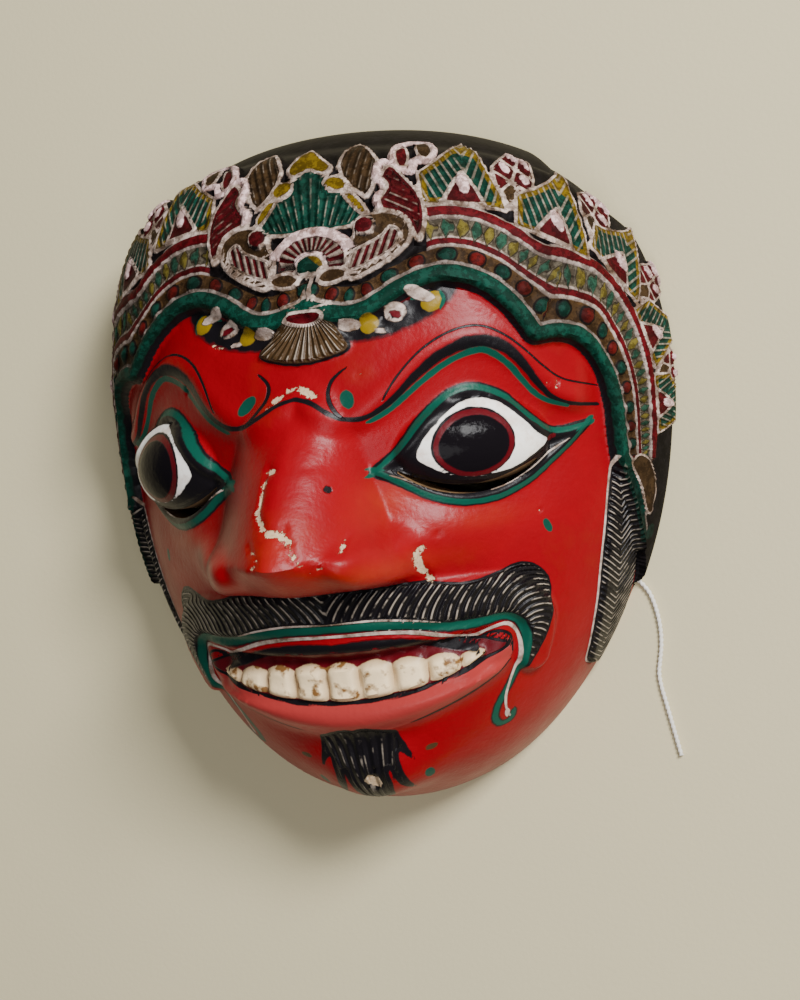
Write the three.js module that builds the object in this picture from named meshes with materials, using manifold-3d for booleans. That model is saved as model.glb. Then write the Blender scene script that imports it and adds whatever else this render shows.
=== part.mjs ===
// A carved wooden dance mask, lying face up on its rim. Millimetres, +Z out of the face,
// +Y towards the top of the crown. The rim stands on z = 0 about the middle of the mask.
import * as THREE from 'three';
import Module from 'manifold-3d';
import { mergeVertices } from 'three/addons/utils/BufferGeometryUtils.js';

const wasm = await Module();
wasm.setup();

// ---- driving dimensions ----
const RIM_RADIUS = 90.6;              // mean radius of the rim outline
const RIM_SHAPE = [0.030, -0.082, 0.048, -0.004, -0.012];
const DOME_HEIGHT = 64;               // rim to the flat of the face, without its features
const SIDE_ROUNDNESS = 1.85;          // exponents of the domed section
const CROWN_ROUNDNESS = 3.2;
const CHIN_ROUNDNESS = 2.7;
const WALL = 7.5;                     // thickness of the wood
const RIM_FADE = 7;                   // carving dies out this far from the rim
const FACE_TILT = (2.5 * Math.PI) / 180;   // the features sit a little askew on the blank
const CROWN_SHIFT = 4.2;              // the crown's middle stands a little to one side
const FACE_SWELL = 9;
const CROWN_LIFT = 3.5;               // step from the face up to the crown
const EYE_BULGE = 8.5;
const LEFT_EYE_OUT = 9.5;              // the left eye sits further out, and is larger
const LEFT_EYE_SCALE = 1.12;
const CENTRE_UP = 1.73;                // brings the middle of the whole mask to the origin
const NOSE_REACH = 29;
const LIP_REACH = 4.5;
const OUTER_CELLS = 54;               // cells along one side of the carved face
const INNER_CELLS = 27;
const TIE_HOLE_DIAMETER = 2.6;
const TIE_HOLE_EXIT = 78.8;            // from the middle to where the hole opens in the rim
const TIE_HOLE_LEAN = Math.atan(0.75); // the hole leans inwards as it rises
const TIE_HOLE_ANGLE = THREE.MathUtils.degToRad(-27.5);
const STRING_DIAMETER = 1.4;
const KNOT_RADIUS = 1.5;
const NOTCH_WIDTH = 3.4;
const NOTCH_HEIGHT = 2.6;

// Lower edge of the crown from the middle of the forehead round to the cheek, in the
// flat layout of the face: p across, q up, both measured along the surface.
const CROWN_EDGE = [
  [0, 36.8], [5, 35], [10, 34], [15, 35], [22, 39], [30, 41.2], [38, 39.6], [45, 35.5],
  [50, 31], [53, 28.5], [58, 29.5], [64, 29.3], [70, 26.5], [76, 21.5], [79.5, 16], [82, 9],
  [83.3, 0], [84.5, -7], [87, -13], [89, -19], [91, -27], [93, -37]];
// The black brow, from the root of the nose to the temple.
const BROW_LINE = [
  [0, 17], [10, 9.6], [20.5, 16], [28, 22.8], [39, 26.3], [51, 21.8], [62.5, 13.3], [75.5, 10.7]];
// The moustache's middle line, and its width along the way.
const MOUSTACHE_LINE = [[0, -34], [18.5, -35.4], [36.5, -37], [47, -39.5], [53, -48], [50, -59]];
const MOUSTACHE_HALF_WIDTH = 5.5;
// Side hair in front of the ear.
const SIDEBURN_LINE = [[84, -8], [84.5, -24], [83.5, -44], [81, -62], [77, -81]];
const SIDEBURN_HALF_WIDTH = 7;
// Route of the string through its hole: out from the middle, and up.
const NECK_ROUTE = [
  [72.05, 9], [73.55, 7], [75.2, 4.8], [76.7, 2.8], [77.4, 1.9], [78.2, 1.2], [79, 1], [79.6, 1]];
// Route of the loose end of the string over the surface below, from the rim outwards.
const TAIL_ROUTE = [
  [70.9, -36.9, 1], [73.5, -38.5, 1], [76, -41.5, 0.9], [77.5, -45, 0.9], [78.5, -49, 0.9],
  [79, -53, 0.9], [79, -57, 0.9], [78.5, -61, 0.9], [78, -65, 0.9], [78.5, -69, 0.9],
  [79.5, -73, 0.9], [80.5, -77, 0.9], [81.5, -81, 0.9], [82.5, -85, 0.9], [83.5, -89, 0.9]];

// ---- small functions ----
function smooth(value, from, to) {
  const t = Math.min(Math.max((value - from) / (to - from), 0), 1);
  return t * t * (3 - 2 * t);
}

function mound(p, q, centreP, centreQ, halfP, halfQ, power = 1) {
  const u = (p - centreP) / halfP;
  const v = (q - centreQ) / halfQ;
  return Math.exp(-((u * u + v * v) ** power));
}

function curvePoints(points, steps = 60) {
  return new THREE.SplineCurve(points.map(([x, y]) => new THREE.Vector2(x, y))).getPoints(steps);
}

// Distance from a curve, signed: positive on its left as it runs.
function signedDistance(curve, p, q) {
  let best = Infinity;
  let sign = 1;
  for (let i = 0; i < curve.length - 1; i += 1) {
    const a = curve[i];
    const b = curve[i + 1];
    const dx = b.x - a.x;
    const dy = b.y - a.y;
    const along = ((p - a.x) * dx + (q - a.y) * dy) / (dx * dx + dy * dy);
    const t = Math.min(Math.max(along, 0), 1);
    const distance = Math.hypot(p - a.x - t * dx, q - a.y - t * dy);
    if (distance < best) {
      best = distance;
      sign = dx * (q - a.y) - dy * (p - a.x) >= 0 ? 1 : -1;
    }
  }
  return sign * best;
}

const crownEdge = curvePoints(CROWN_EDGE);
const browLine = curvePoints(BROW_LINE);
const moustacheLine = curvePoints(MOUSTACHE_LINE);
const sideburnLine = curvePoints(SIDEBURN_LINE);

// ---- the domed blank ----
function rimRadius(angle) {
  const [a, b, c, d, e] = RIM_SHAPE;
  const wave = a * Math.sin(angle) + b * Math.cos(2 * angle) + c * Math.sin(3 * angle);
  return RIM_RADIUS * (1 + wave + d * Math.cos(4 * angle) + e * Math.sin(5 * angle));
}

function roundness(angle) {
  const up = 0.5 + 0.5 * Math.tanh(4 * Math.sin(angle));
  const ends = CROWN_ROUNDNESS * up + CHIN_ROUNDNESS * (1 - up);
  return SIDE_ROUNDNESS * Math.cos(angle) ** 2 + ends * Math.sin(angle) ** 2;
}

// A point of the dome: part 0 is the top of the face and part 1 is the rim.
function dome(part, angle, inset = 0) {
  const n = roundness(angle);
  const s = Math.sin((part * Math.PI) / 2);
  const c = Math.max(Math.cos((part * Math.PI) / 2), 0);
  const k = (s ** n + c ** n) ** (-1 / n);
  const radius = (rimRadius(angle) - inset) * s * k;
  const height = (DOME_HEIGHT - inset) * c * k;
  return new THREE.Vector3(radius * Math.cos(angle), radius * Math.sin(angle), height);
}

function arcLength(angle) {
  const steps = 64;
  let total = 0;
  let previous = dome(0, angle);
  for (let i = 1; i <= steps; i += 1) {
    const point = dome(i / steps, angle);
    total += point.distanceTo(previous);
    previous = point;
  }
  return total;
}

const ARC_STEPS = 360;
const arcTable = Array.from({ length: ARC_STEPS + 1 }, (_, i) => (
  arcLength((i / ARC_STEPS) * 2 * Math.PI)));

function arcAt(angle) {
  const turn = ((angle / (2 * Math.PI)) % 1 + 1) % 1;
  const place = turn * ARC_STEPS;
  const i = Math.min(Math.floor(place), ARC_STEPS - 1);
  return THREE.MathUtils.lerp(arcTable[i], arcTable[i + 1], place - i);
}

function blank(p, q) {
  const angle = Math.atan2(q, p);
  return dome(Math.min(Math.hypot(p, q) / arcAt(angle), 1), angle);
}

function blankNormal(p, q) {
  const step = 0.4;
  const across = blank(p + step, q).sub(blank(p - step, q));
  const up = blank(p, q + step).sub(blank(p, q - step));
  return across.cross(up).normalize();
}

// ---- the carving, as heights over the blank ----
function eye(p, q) {
  const radial = 1 - ((p - 41) / 21) ** 2 - ((q - 2) / 11.5) ** 2;
  const ball = EYE_BULGE * Math.max(radial, 0) ** 0.7;
  const socket = -2 * mound(p, q, 42, 1, 34, 19, 1.5);
  return ball + socket;
}

function lids(p, q) {
  const tilt = Math.atan2(10.4, 59.5);
  const x = (p - 43.6) * Math.cos(tilt) + (q - 1.6) * Math.sin(tilt);
  const y = (q - 1.6) * Math.cos(tilt) - (p - 43.6) * Math.sin(tilt);
  const edge = 13 * Math.max(1 - (x / 30) ** 2, 0) ** 1.2;
  return 1.5 * Math.exp(-(((Math.abs(y) - edge) / 3) ** 2)) * smooth(30 - Math.abs(x), 0, 8);
}

function brow(p, q) {
  const distance = signedDistance(browLine, p, q);
  const ends = smooth(78 - p, 0, 12);
  return ends * (1.6 * Math.exp(-((distance / 3) ** 2)) + 2 * smooth(distance, -4, 3));
}

function moustache(p, q) {
  const distance = Math.abs(signedDistance(moustacheLine, p, q));
  return 2.6 * smooth(MOUSTACHE_HALF_WIDTH + 0.8 - distance, 0, 3);
}

function mouth(p, q) {
  const reach = Math.max(1 - (p / 46) ** 2, 0);
  const upperLip = 2.5 * mound(p, q, 0, -42 - 6 * (1 - reach), 60, 3.2) * smooth(reach, 0, 0.3);
  const open = smooth(reach, 0.05, 0.4) * smooth(q, -58, -55) * smooth(-q, 44, 47);
  const teeth = 2.2 * smooth(q, -57, -55) * smooth(-q, 46, 48.5) * smooth(reach, 0.35, 0.6);
  const rise = -60.5 + 9 * (1 - reach);
  const lowerLip = LIP_REACH * Math.exp(-(((q - rise) / 5) ** 2)) * smooth(reach, -0.02, 0.35);
  return upperLip - 3 * open + teeth + lowerLip;
}

function crown(p, q) {
  const distance = signedDistance(crownEdge, p, q);
  const step = CROWN_LIFT * smooth(distance, -3.5, 0) * (1 - smooth(q, 73, 85));
  const bead = 0.8 * Math.exp(-((distance / 2) ** 2)) + 0.9 * Math.exp(-(((distance - 19) / 2) ** 2));
  return step + bead;
}

function ornament(p, q) {
  const rosette = 2.5 * mound(p, q, 0, 49, 13, 8, 2);
  const leaf = 2 * mound(p, q, 0, 68, 11, 12, 2);
  const scroll = 1.8 * mound(p, q, 26, 68, 6, 15, 2);
  const tassel = 2.6 * mound(p, q, 0, 30.5, 12, 4.5, 2);
  return rosette + leaf + scroll + tassel;
}

function hair(p, q) {
  const distance = Math.abs(signedDistance(sideburnLine, p, q));
  const goatee = 1.2 * mound(p, q, 0, -80, 11, 14, 2);
  return 1.6 * smooth(SIDEBURN_HALF_WIDTH - distance, 0, 2) + goatee;
}

function relief(p, q) {
  const side = Math.abs(p);
  const swell = FACE_SWELL * mound(p, q, 0, 2, 34, 34);
  const cheek = 3 * mound(side, q, 30, -19, 14, 9);
  const chin = 4 * mound(p, q, 0, -84, 18, 12, 1.3);
  const features = eye(side, q) + lids(side, q) + brow(side, q) + moustache(side, q) + mouth(side, q);
  return swell + cheek + chin + features + crown(side, q) + ornament(side, q) + hair(side, q);
}

// The nose stands out of the face and leans down, with a flat underside.
function noseHeight(p, q) {
  const top = 16;
  const tip = -20;
  const foot = -30;
  const down = THREE.MathUtils.clamp((top - q) / (top - tip), 0, 1);
  const under = THREE.MathUtils.clamp((q - foot) / (tip - foot), 0, 1);
  const ridge = q > tip ? 2 + (NOSE_REACH - 2) * down ** 1.15 : NOSE_REACH * under ** 0.4;
  const ends = smooth(q, foot - 0.5, foot + 2) * smooth(top + 5 - q, 0, 7);
  const halfWidth = 9 + 17 * THREE.MathUtils.clamp((top - q) / (top - foot), 0, 1);
  const offset = Math.abs(p + 3 * down) / halfWidth;
  const wings = 9 * mound(Math.abs(p + 4), q, 20, -24, 8, 6.5, 1.5) * smooth(q, foot - 0.5, foot + 2);
  return ridge * ends * Math.max(1 - offset ** 1.5, 0) ** 0.9 + wings;
}

// Where a place on the blank falls in the layout of the face, which sits a little askew.
function facePlace(p, q) {
  const up = q * Math.cos(FACE_TILT) - p * Math.sin(FACE_TILT);
  const shift = CROWN_SHIFT * Math.exp(-(((up - 48) / 24) ** 2));
  const across = p * Math.cos(FACE_TILT) + q * Math.sin(FACE_TILT) - shift;
  const hold = mound(across, up, -46, 4, 38, 24, 1.5);
  const eyeAcross = (across + 39 + LEFT_EYE_OUT) / LEFT_EYE_SCALE - 39;
  const eyeUp = (up - 2.5) / LEFT_EYE_SCALE + 2;
  return [across + hold * (eyeAcross - across), up + hold * (eyeUp - up)];
}

// The place on the blank that facePlace sends to a place in the layout.
function blankPlace(across, up) {
  let [p, q] = [across, up];
  for (let turn = 0; turn < 12; turn += 1) {
    const [a, u] = facePlace(p, q);
    p += across - a;
    q += up - u;
  }
  return [p, q];
}

function carved(p, q) {
  const angle = Math.atan2(q, p);
  const fade = smooth(arcAt(angle) - Math.hypot(p, q), 0, RIM_FADE);
  const [across, up] = facePlace(p, q);
  const point = blank(p, q).addScaledVector(blankNormal(p, q), relief(across, up) * fade);
  const nose = noseHeight(across, up);
  point.z += nose;
  point.y -= 0.12 * nose;
  return point;
}

// The hollow follows the face from behind, with a pocket behind the nose.
function hollow(part, angle) {
  const point = dome(part, angle, WALL);
  point.z += 20 * mound(point.x, point.y, 0, -8, 15, 17) + 6 * mound(point.x, point.y, 0, 0, 34, 34);
  return point;
}

// ---- the shell ----
// A square grid laid over a disc, so that the cells stay even.
function discPlace(i, j, cells) {
  const a = (2 * i) / cells - 1;
  const b = (2 * j) / cells - 1;
  const u = a * Math.sqrt(1 - (b * b) / 2);
  const v = b * Math.sqrt(1 - (a * a) / 2);
  return { part: Math.min(Math.hypot(u, v), 1), angle: Math.atan2(v, u) };
}

function addGrid(positions, cells, pointAt) {
  const first = positions.length;
  for (let j = 0; j <= cells; j += 1) {
    for (let i = 0; i <= cells; i += 1) {
      const { part, angle } = discPlace(i, j, cells);
      const point = pointAt(part, angle);
      const onEdge = i === 0 || j === 0 || i === cells || j === cells;
      positions.push(new THREE.Vector3(point.x, point.y, onEdge ? 0 : point.z));
    }
  }
  return (i, j) => first + j * (cells + 1) + i;
}

function gridFaces(faces, cells, at, outward) {
  for (let j = 0; j < cells; j += 1) {
    for (let i = 0; i < cells; i += 1) {
      const a = at(i, j);
      const b = at(i + 1, j);
      const c = at(i + 1, j + 1);
      const d = at(i, j + 1);
      const rising = (i < cells / 2) === (j < cells / 2);
      const pair = rising ? [[a, b, c], [a, c, d]] : [[a, b, d], [b, c, d]];
      pair.forEach(([x, y, z]) => faces.push(outward ? [x, y, z] : [x, z, y]));
    }
  }
}

// The grid's edge vertices in order, anticlockwise.
function edgeLoop(cells, at) {
  const steps = Array.from({ length: cells }, (_, i) => i);
  return [
    ...steps.map((i) => at(i, 0)),
    ...steps.map((i) => at(cells, i)),
    ...steps.map((i) => at(cells - i, cells)),
    ...steps.map((i) => at(0, cells - i))];
}

function shellGeometry() {
  const positions = [];
  const faces = [];
  const outer = addGrid(positions, OUTER_CELLS, (part, angle) => {
    const reach = part * arcAt(angle);
    return carved(reach * Math.cos(angle), reach * Math.sin(angle));
  });
  const inner = addGrid(positions, INNER_CELLS, hollow);
  gridFaces(faces, OUTER_CELLS, outer, true);
  gridFaces(faces, INNER_CELLS, inner, false);
  const outside = edgeLoop(OUTER_CELLS, outer);
  const inside = edgeLoop(INNER_CELLS, inner);
  const ratio = OUTER_CELLS / INNER_CELLS;
  inside.forEach((here, i) => {
    const next = inside[(i + 1) % inside.length];
    for (let k = 0; k < ratio; k += 1) {
      const from = outside[i * ratio + k];
      const to = outside[(i * ratio + k + 1) % outside.length];
      faces.push([here, to, from]);
    }
    faces.push([here, next, outside[((i + 1) * ratio) % outside.length]]);
  });
  const geometry = new THREE.BufferGeometry().setFromPoints(positions);
  geometry.setIndex(faces.flat());
  return geometry;
}

// ---- solids ----
function solidOf(geometry) {
  const bare = geometry.clone();
  bare.deleteAttribute('normal');
  bare.deleteAttribute('uv');
  const merged = mergeVertices(bare, 1e-4);
  return new wasm.Manifold(new wasm.Mesh({
    numProp: 3,
    vertProperties: Float32Array.from(merged.attributes.position.array),
    triVerts: Uint32Array.from(merged.index.array),
  }));
}

function geometryOf(solid) {
  const mesh = solid.getMesh();
  const geometry = new THREE.BufferGeometry();
  geometry.setAttribute('position', new THREE.BufferAttribute(mesh.vertProperties, 3));
  geometry.setIndex(new THREE.BufferAttribute(mesh.triVerts, 1));
  geometry.computeVertexNormals();
  return geometry;
}

// The narrow slit that the wearer looks through, under the ball of each eye.
function slitCutter(side) {
  const points = [];
  const count = 8;
  for (let i = 0; i <= count; i += 1) {
    const x = -1 + (2 * i) / count;
    points.push([40 + 18 * x, -9.5 + 6 * x * x - 1.2 * Math.sqrt(Math.max(1 - x * x, 0.04))]);
  }
  for (let i = count; i >= 0; i -= 1) {
    const x = -1 + (2 * i) / count;
    points.push([40 + 18 * x, -9.5 + 6 * x * x + 1.2 * Math.sqrt(Math.max(1 - x * x, 0.04))]);
  }
  const plan = points.map(([p, q]) => blank(...blankPlace(side * p, q)));
  const shape = new THREE.Shape(plan.map((point) => new THREE.Vector2(point.x, point.y)));
  const cutter = new THREE.ExtrudeGeometry(shape, { depth: 90, bevelEnabled: false });
  cutter.translate(0, 0, 20);
  return cutter;
}

// A hole drilled from the flat rim up into the hollow, so nothing of it shows on the face.
function tieHoleCutter(side) {
  const radius = TIE_HOLE_DIAMETER / 2;
  const cutter = new THREE.CylinderGeometry(radius, radius, 26, 12);
  cutter.rotateX(Math.PI / 2);
  cutter.rotateY(-TIE_HOLE_LEAN);
  cutter.translate(TIE_HOLE_EXIT, 0, 0);
  cutter.rotateZ(side > 0 ? TIE_HOLE_ANGLE : Math.PI - TIE_HOLE_ANGLE);
  return cutter;
}

// A shallow channel in the rim that lets the string out.
function notchCutter() {
  const cutter = new THREE.BoxGeometry(24, NOTCH_WIDTH, 2 * NOTCH_HEIGHT);
  cutter.translate(TIE_HOLE_EXIT + 9.2, 0, 0);
  cutter.rotateZ(TIE_HOLE_ANGLE);
  return cutter;
}

function maskGeometry() {
  const cutters = [
    slitCutter(1), slitCutter(-1), tieHoleCutter(1), tieHoleCutter(-1), notchCutter()];
  const cut = cutters.reduce(
    (solid, cutter) => solid.subtract(solidOf(cutter)), solidOf(shellGeometry()));
  return geometryOf(cut);
}

// A round string along a smooth curve through the points.
function stringGeometry(points, steps) {
  const radius = STRING_DIAMETER / 2;
  const section = new THREE.Shape(Array.from({ length: 8 }, (_, i) => {
    const angle = (i * Math.PI) / 4 + Math.PI / 8;
    return new THREE.Vector2(radius * Math.cos(angle), radius * Math.sin(angle));
  }));
  const path = new THREE.CatmullRomCurve3(points.map(([x, y, z]) => new THREE.Vector3(x, y, z)));
  return new THREE.ExtrudeGeometry(section, { steps, bevelEnabled: false, extrudePath: path });
}

// A place beside the right-hand tie hole: out from the middle, and up.
function besideHole(out, up) {
  return [out * Math.cos(TIE_HOLE_ANGLE), out * Math.sin(TIE_HOLE_ANGLE), up];
}

function knotGeometry() {
  const knot = new THREE.SphereGeometry(KNOT_RADIUS, 12, 8);
  knot.translate(...besideHole(70.95, 10.4));
  return knot;
}

// ---- the part ----
const paintedWood = new THREE.MeshStandardMaterial({ color: 0xb3141e, roughness: 0.35, metalness: 0 });
const cottonString = new THREE.MeshStandardMaterial({ color: 0xe9e6de, roughness: 0.9, metalness: 0 });

const part = new THREE.Group();
part.name = 'topeng_mask';

function addPiece(name, geometry, material) {
  geometry.translate(0, CENTRE_UP, 0);
  const mesh = new THREE.Mesh(geometry, material.clone());
  mesh.name = name;
  part.add(mesh);
}

addPiece('mask', maskGeometry(), paintedWood);
addPiece('tie_knot', knotGeometry(), cottonString);
addPiece('tie_neck', stringGeometry(NECK_ROUTE.map(([r, z]) => besideHole(r, z)), 16), cottonString);
addPiece('tie_tail', stringGeometry(TAIL_ROUTE, 60), cottonString);

export default part;
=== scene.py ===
"""A carved and painted dance mask with its cotton tie string, lying face up on its rim."""
import math

import bpy
import numpy as np
from mathutils import Matrix, Vector, kdtree


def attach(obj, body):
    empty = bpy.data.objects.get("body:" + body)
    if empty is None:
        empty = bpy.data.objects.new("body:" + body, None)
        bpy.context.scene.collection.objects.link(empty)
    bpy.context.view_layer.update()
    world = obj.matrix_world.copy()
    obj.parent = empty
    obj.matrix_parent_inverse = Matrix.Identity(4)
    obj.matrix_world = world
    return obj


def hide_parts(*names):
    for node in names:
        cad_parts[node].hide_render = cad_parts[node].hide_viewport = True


bl_info = {
    "name": "Carved Dance Mask",
    "version": (1, 0, 0),
    "blender": (4, 5, 0),
    "location": "View3D > Sidebar > Mask",
    "description": "Builds a carved and painted wooden dance mask, its tie string and a stage",
    "category": "Add Mesh",
}

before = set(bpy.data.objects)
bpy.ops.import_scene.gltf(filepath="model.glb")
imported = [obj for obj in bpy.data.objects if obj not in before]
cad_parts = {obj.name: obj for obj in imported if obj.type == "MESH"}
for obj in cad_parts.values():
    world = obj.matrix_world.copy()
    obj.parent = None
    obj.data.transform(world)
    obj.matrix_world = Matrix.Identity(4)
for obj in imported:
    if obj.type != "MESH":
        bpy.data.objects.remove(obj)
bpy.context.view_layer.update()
MM = 0.001

# ---- the blank: a domed shell over an egg-shaped rim, in millimetres ----
RIM_RADIUS = 90.6
RIM_SHAPE = (0.030, -0.082, 0.048, -0.004, -0.012)
DOME_HEIGHT = 64.0
SIDE_ROUNDNESS = 1.85
CROWN_ROUNDNESS = 3.2
CHIN_ROUNDNESS = 2.7
WALL = 7.5
RIM_FADE = 7.0
FACE_TILT = math.radians(2.5)
CROWN_SHIFT = 4.2
CROWN_LIFT = 3.5
EYE_BULGE = 8.5
LEFT_EYE_OUT = 9.5
LEFT_EYE_SCALE = 1.12
CENTRE_UP = 1.73            # brings the middle of the whole mask to the origin
NOSE_REACH = 29.0
LIP_REACH = 4.5
STRING_DIAMETER = 1.4

# ---- the drawing, on the flat layout of the face: p across, q up, right-hand half ----
CROWN_EDGE = [
    (0, 36.8), (5, 35), (10, 34), (15, 35), (22, 39), (30, 41.2), (38, 39.6), (45, 35.5),
    (50, 31), (53, 28.5), (58, 29.5), (64, 29.3), (70, 26.5), (76, 21.5), (79.5, 16), (82, 9),
    (83.3, 0), (84.5, -7), (87, -13), (89, -19), (91, -27), (93, -37)]
UPPER_BAND = [
    (0, 51), (5, 49.3), (10, 48.3), (15, 49.3), (22, 53.3), (28.5, 55.6), (36, 55.3), (41, 54),
    (46, 51.8), (50.5, 49.2), (53.5, 48.3), (58, 48.5),
    (64, 48.2), (69, 47.5), (74, 46), (79, 43), (83.4, 38.5), (87, 34), (91, 27), (94, 20),
    (95.7, 10), (96, 0), (95.5, -6)]
BROW_BASE = [
    (0, 17), (10, 9.6), (20.5, 16), (28, 22.8), (39, 26.3), (51, 21.8), (62.5, 13.3), (75.5, 10.7)]
BROW_INK = [
    (0, 16.2), (4, 14.8), (8, 11.6), (11, 10), (15, 10.4), (20, 13.5), (25, 18.5), (30, 22.8),
    (36, 25.7), (41, 26.3), (46, 25), (51, 21.5), (56, 16.8), (61, 12.9), (67, 11.2), (77, 10.8)]
BROW_GREEN = [
    (15, 9.2), (20, 12), (26, 17), (32, 21.4), (38, 24), (42, 24), (48, 20.8), (55, 14.8),
    (60, 12), (66, 10.6)]
BROW_THIN = [
    (18.5, 14), (22, 19.5), (27, 25), (33, 28.6), (39, 29.7), (45, 28), (51, 24.7), (57, 20.8),
    (64, 17.6), (76, 16.2)]
LID_UPPER = [(14.5, -3), (20, 2.6), (26, 10), (33, 15.4), (40, 16.6), (48, 14), (55, 8.6), (63, 4.6),
    (75, 6.3)]
LID_LOWER = [
    (14.5, -3), (20, -6.4), (27, -10.6), (34, -13), (41, -13.6), (48, -12.6), (56, -9.4),
    (63, -4.6), (69, 0), (75, 6.3)]
LID_LINE = [(19, -4.2), (25, -6.6), (32, -9.2), (40, -10.2), (47, -9.6), (54, -6.6), (60, -2.6), (67, 1.2)]
SLIT_LINE = [(20, -3.2), (25, -5.6), (32, -7.9), (40, -8.7), (47, -8), (53, -5.2), (58, -1.8)]
EYE_WHITE = [
    (25.3, 0), (26.5, 4.2), (30.5, 9), (35.5, 12.4), (41, 13.3), (46, 12), (51, 8.3), (56, 4),
    (59.5, 1.6), (55, -1.6), (50, -4.4), (45, -5.6), (39, -6.2), (33, -5.2), (28.5, -2.8)]
MOUSTACHE_BASE = [(0, -34), (18.5, -35.4), (36.5, -37), (47, -39.5), (53, -48), (50, -59)]
MOUSTACHE = [
    (-1, -29.5), (12, -29.6), (23, -30), (33, -32.2), (42, -32), (49, -30.8), (54.5, -33),
    (58, -38.5), (57, -46), (53, -54), (48, -59.5), (46, -61), (47.5, -56), (48.8, -51),
    (47.5, -46.2), (43, -43.6), (35, -42.6), (27, -41.2), (19, -38.6), (9, -36.9), (-1, -36.6)]
LIP_GREEN = [
    (0, -38), (10, -38.2), (19, -39.7), (27, -42), (35, -43.4), (42, -43.8), (46.5, -46.4),
    (48, -51), (47, -56), (44.6, -61), (41, -66), (37.6, -70.5), (35.9, -75), (37.2, -79.2),
    (40.6, -79.6), (41.8, -76.6)]
LIP_WHITE = [
    (0, -39.9), (10, -40.1), (19, -41.6), (27, -44.4), (34, -47.3), (39.5, -46.2), (43.6, -46.6),
    (46, -50.4), (46, -55), (44.6, -59), (42, -64), (40, -69), (39.6, -74), (40.4, -78)]
LIP_RED = [(0, -41), (10, -41.2), (19, -42.8), (27, -46), (34, -48.8), (40, -47.6), (43.6, -50),
    (43.5, -55)]
LOWER_LIP = [
    (-1, -56.8), (12, -56.6), (24, -55.2), (34, -53), (41, -50.2), (44, -51.5), (43, -56),
    (36, -59.6), (27, -62.2), (17, -64.6), (6, -66), (-1, -66.4)]
GOATEE = [
    (-1, -65.6), (9, -66), (10.5, -69), (12.5, -77.5), (9.2, -73.5), (9, -80), (10, -90), (7, -84),
    (5.6, -77), (5.2, -84), (3, -93), (-1, -98)]
SIDEBURN_BASE = [(84, -8), (84.5, -24), (83.5, -44), (81, -62), (77, -81)]
SIDEBURN = [
    (82.4, -5), (80.6, -15), (78.6, -28), (76.6, -40), (75, -52), (72.6, -68), (71.5, -79),
    (78, -86), (86, -76), (93, -58), (94, -40), (91.4, -28), (88.4, -17), (84.6, -8)]

BAND_WIDTH = 14.3
STUD_START = 5.1
STUD_SPACING = 5.5
STUD_HEIGHT = 3.9
LEAF_SPACING = 2.1
# Each leaf of the crown: its base on the upper band, how far it leans out, and its size.
TALL_LEAVES = [((35.8, 57), 2, 1.0), ((56.6, 50.6), 13, 1.04), ((76.8, 46.8), 30, 1.14),
               ((90.3, 30.5), 56, 1.05), ((96.6, 10.5), 82, 1.0)]
SMALL_LEAVES = [((45.6, 57), 20, 1.0), ((67.6, 55.5), 33, 1.16), ((86.2, 42.8), 47, 1.12), ((95.5, 20.5),
    70, 1.05)]

# ---- colours of the paints, sRGB hex ----
RED_LACQUER = "#8c0010"
ORANGE_WEAR = "#a83c1a"
LAMP_BLACK = "#120f12"
VERDIGRIS = "#06493a"
CRIMSON = "#5e0712"
OLD_GOLD = "#4d3820"
OCHRE = "#8f7410"
SHELL_WHITE = "#c8b4a8"
PINK_WHITE = "#dfbfbc"
EYE_MILK = "#fffaf2"
BONE = "#f8dcae"
ROSE = "#9c3230"
BARE_WOOD = "#8a6a44"
GESSO = "#d9c8ab"
COTTON = "#ece8df"
FLOOR_TONE = "#cfc39c"


# ---- small maths ----
def smooth(value, low, high):
    part = np.clip((value - low) / (high - low), 0.0, 1.0)
    return part * part * (3.0 - 2.0 * part)


def mound(p, q, centre_p, centre_q, half_p, half_q, power=1.0):
    return np.exp(-((((p - centre_p) / half_p) ** 2 + ((q - centre_q) / half_q) ** 2) ** power))


def curve_points(points, steps=60, closed=False):
    """A smooth curve through the points, as short straight stretches."""
    points = np.asarray(points, float)
    count = len(points) if closed else len(points) - 1
    curve = []
    for k in range(steps + 1):
        place = k / steps * count
        i = min(int(place), count - 1)
        w = place - i
        if closed:
            before, here, after, beyond = (points[(i + o) % len(points)] for o in (-1, 0, 1, 2))
        else:
            before, here = points[max(i - 1, 0)], points[i]
            after, beyond = points[min(i + 1, count)], points[min(i + 2, count)]
        out = (after - before) / 2
        into = (beyond - here) / 2
        curve.append((2 * here - 2 * after + out + into) * w ** 3
                     + (3 * after - 3 * here - 2 * out - into) * w ** 2 + out * w + here)
    return np.array(curve)


def curve_distance(curve, p, q):
    """Distance from a curve and how far along it the nearest place is; positive on its left."""
    best = np.full(p.shape, 1e9)
    side = np.ones(p.shape)
    along = np.zeros(p.shape)
    run = 0.0
    for a, b in zip(curve[:-1], curve[1:]):
        d = b - a
        length = math.hypot(d[0], d[1]) + 1e-9
        t = np.clip(((p - a[0]) * d[0] + (q - a[1]) * d[1]) / length ** 2, 0, 1)
        distance = np.hypot(p - a[0] - t * d[0], q - a[1] - t * d[1])
        nearer = distance < best
        best = np.where(nearer, distance, best)
        left = d[0] * (q - a[1]) - d[1] * (p - a[0]) >= 0
        side = np.where(nearer, np.where(left, 1, -1), side)
        along = np.where(nearer, run + t * length, along)
        run += length
    return side * best, along, run


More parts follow.
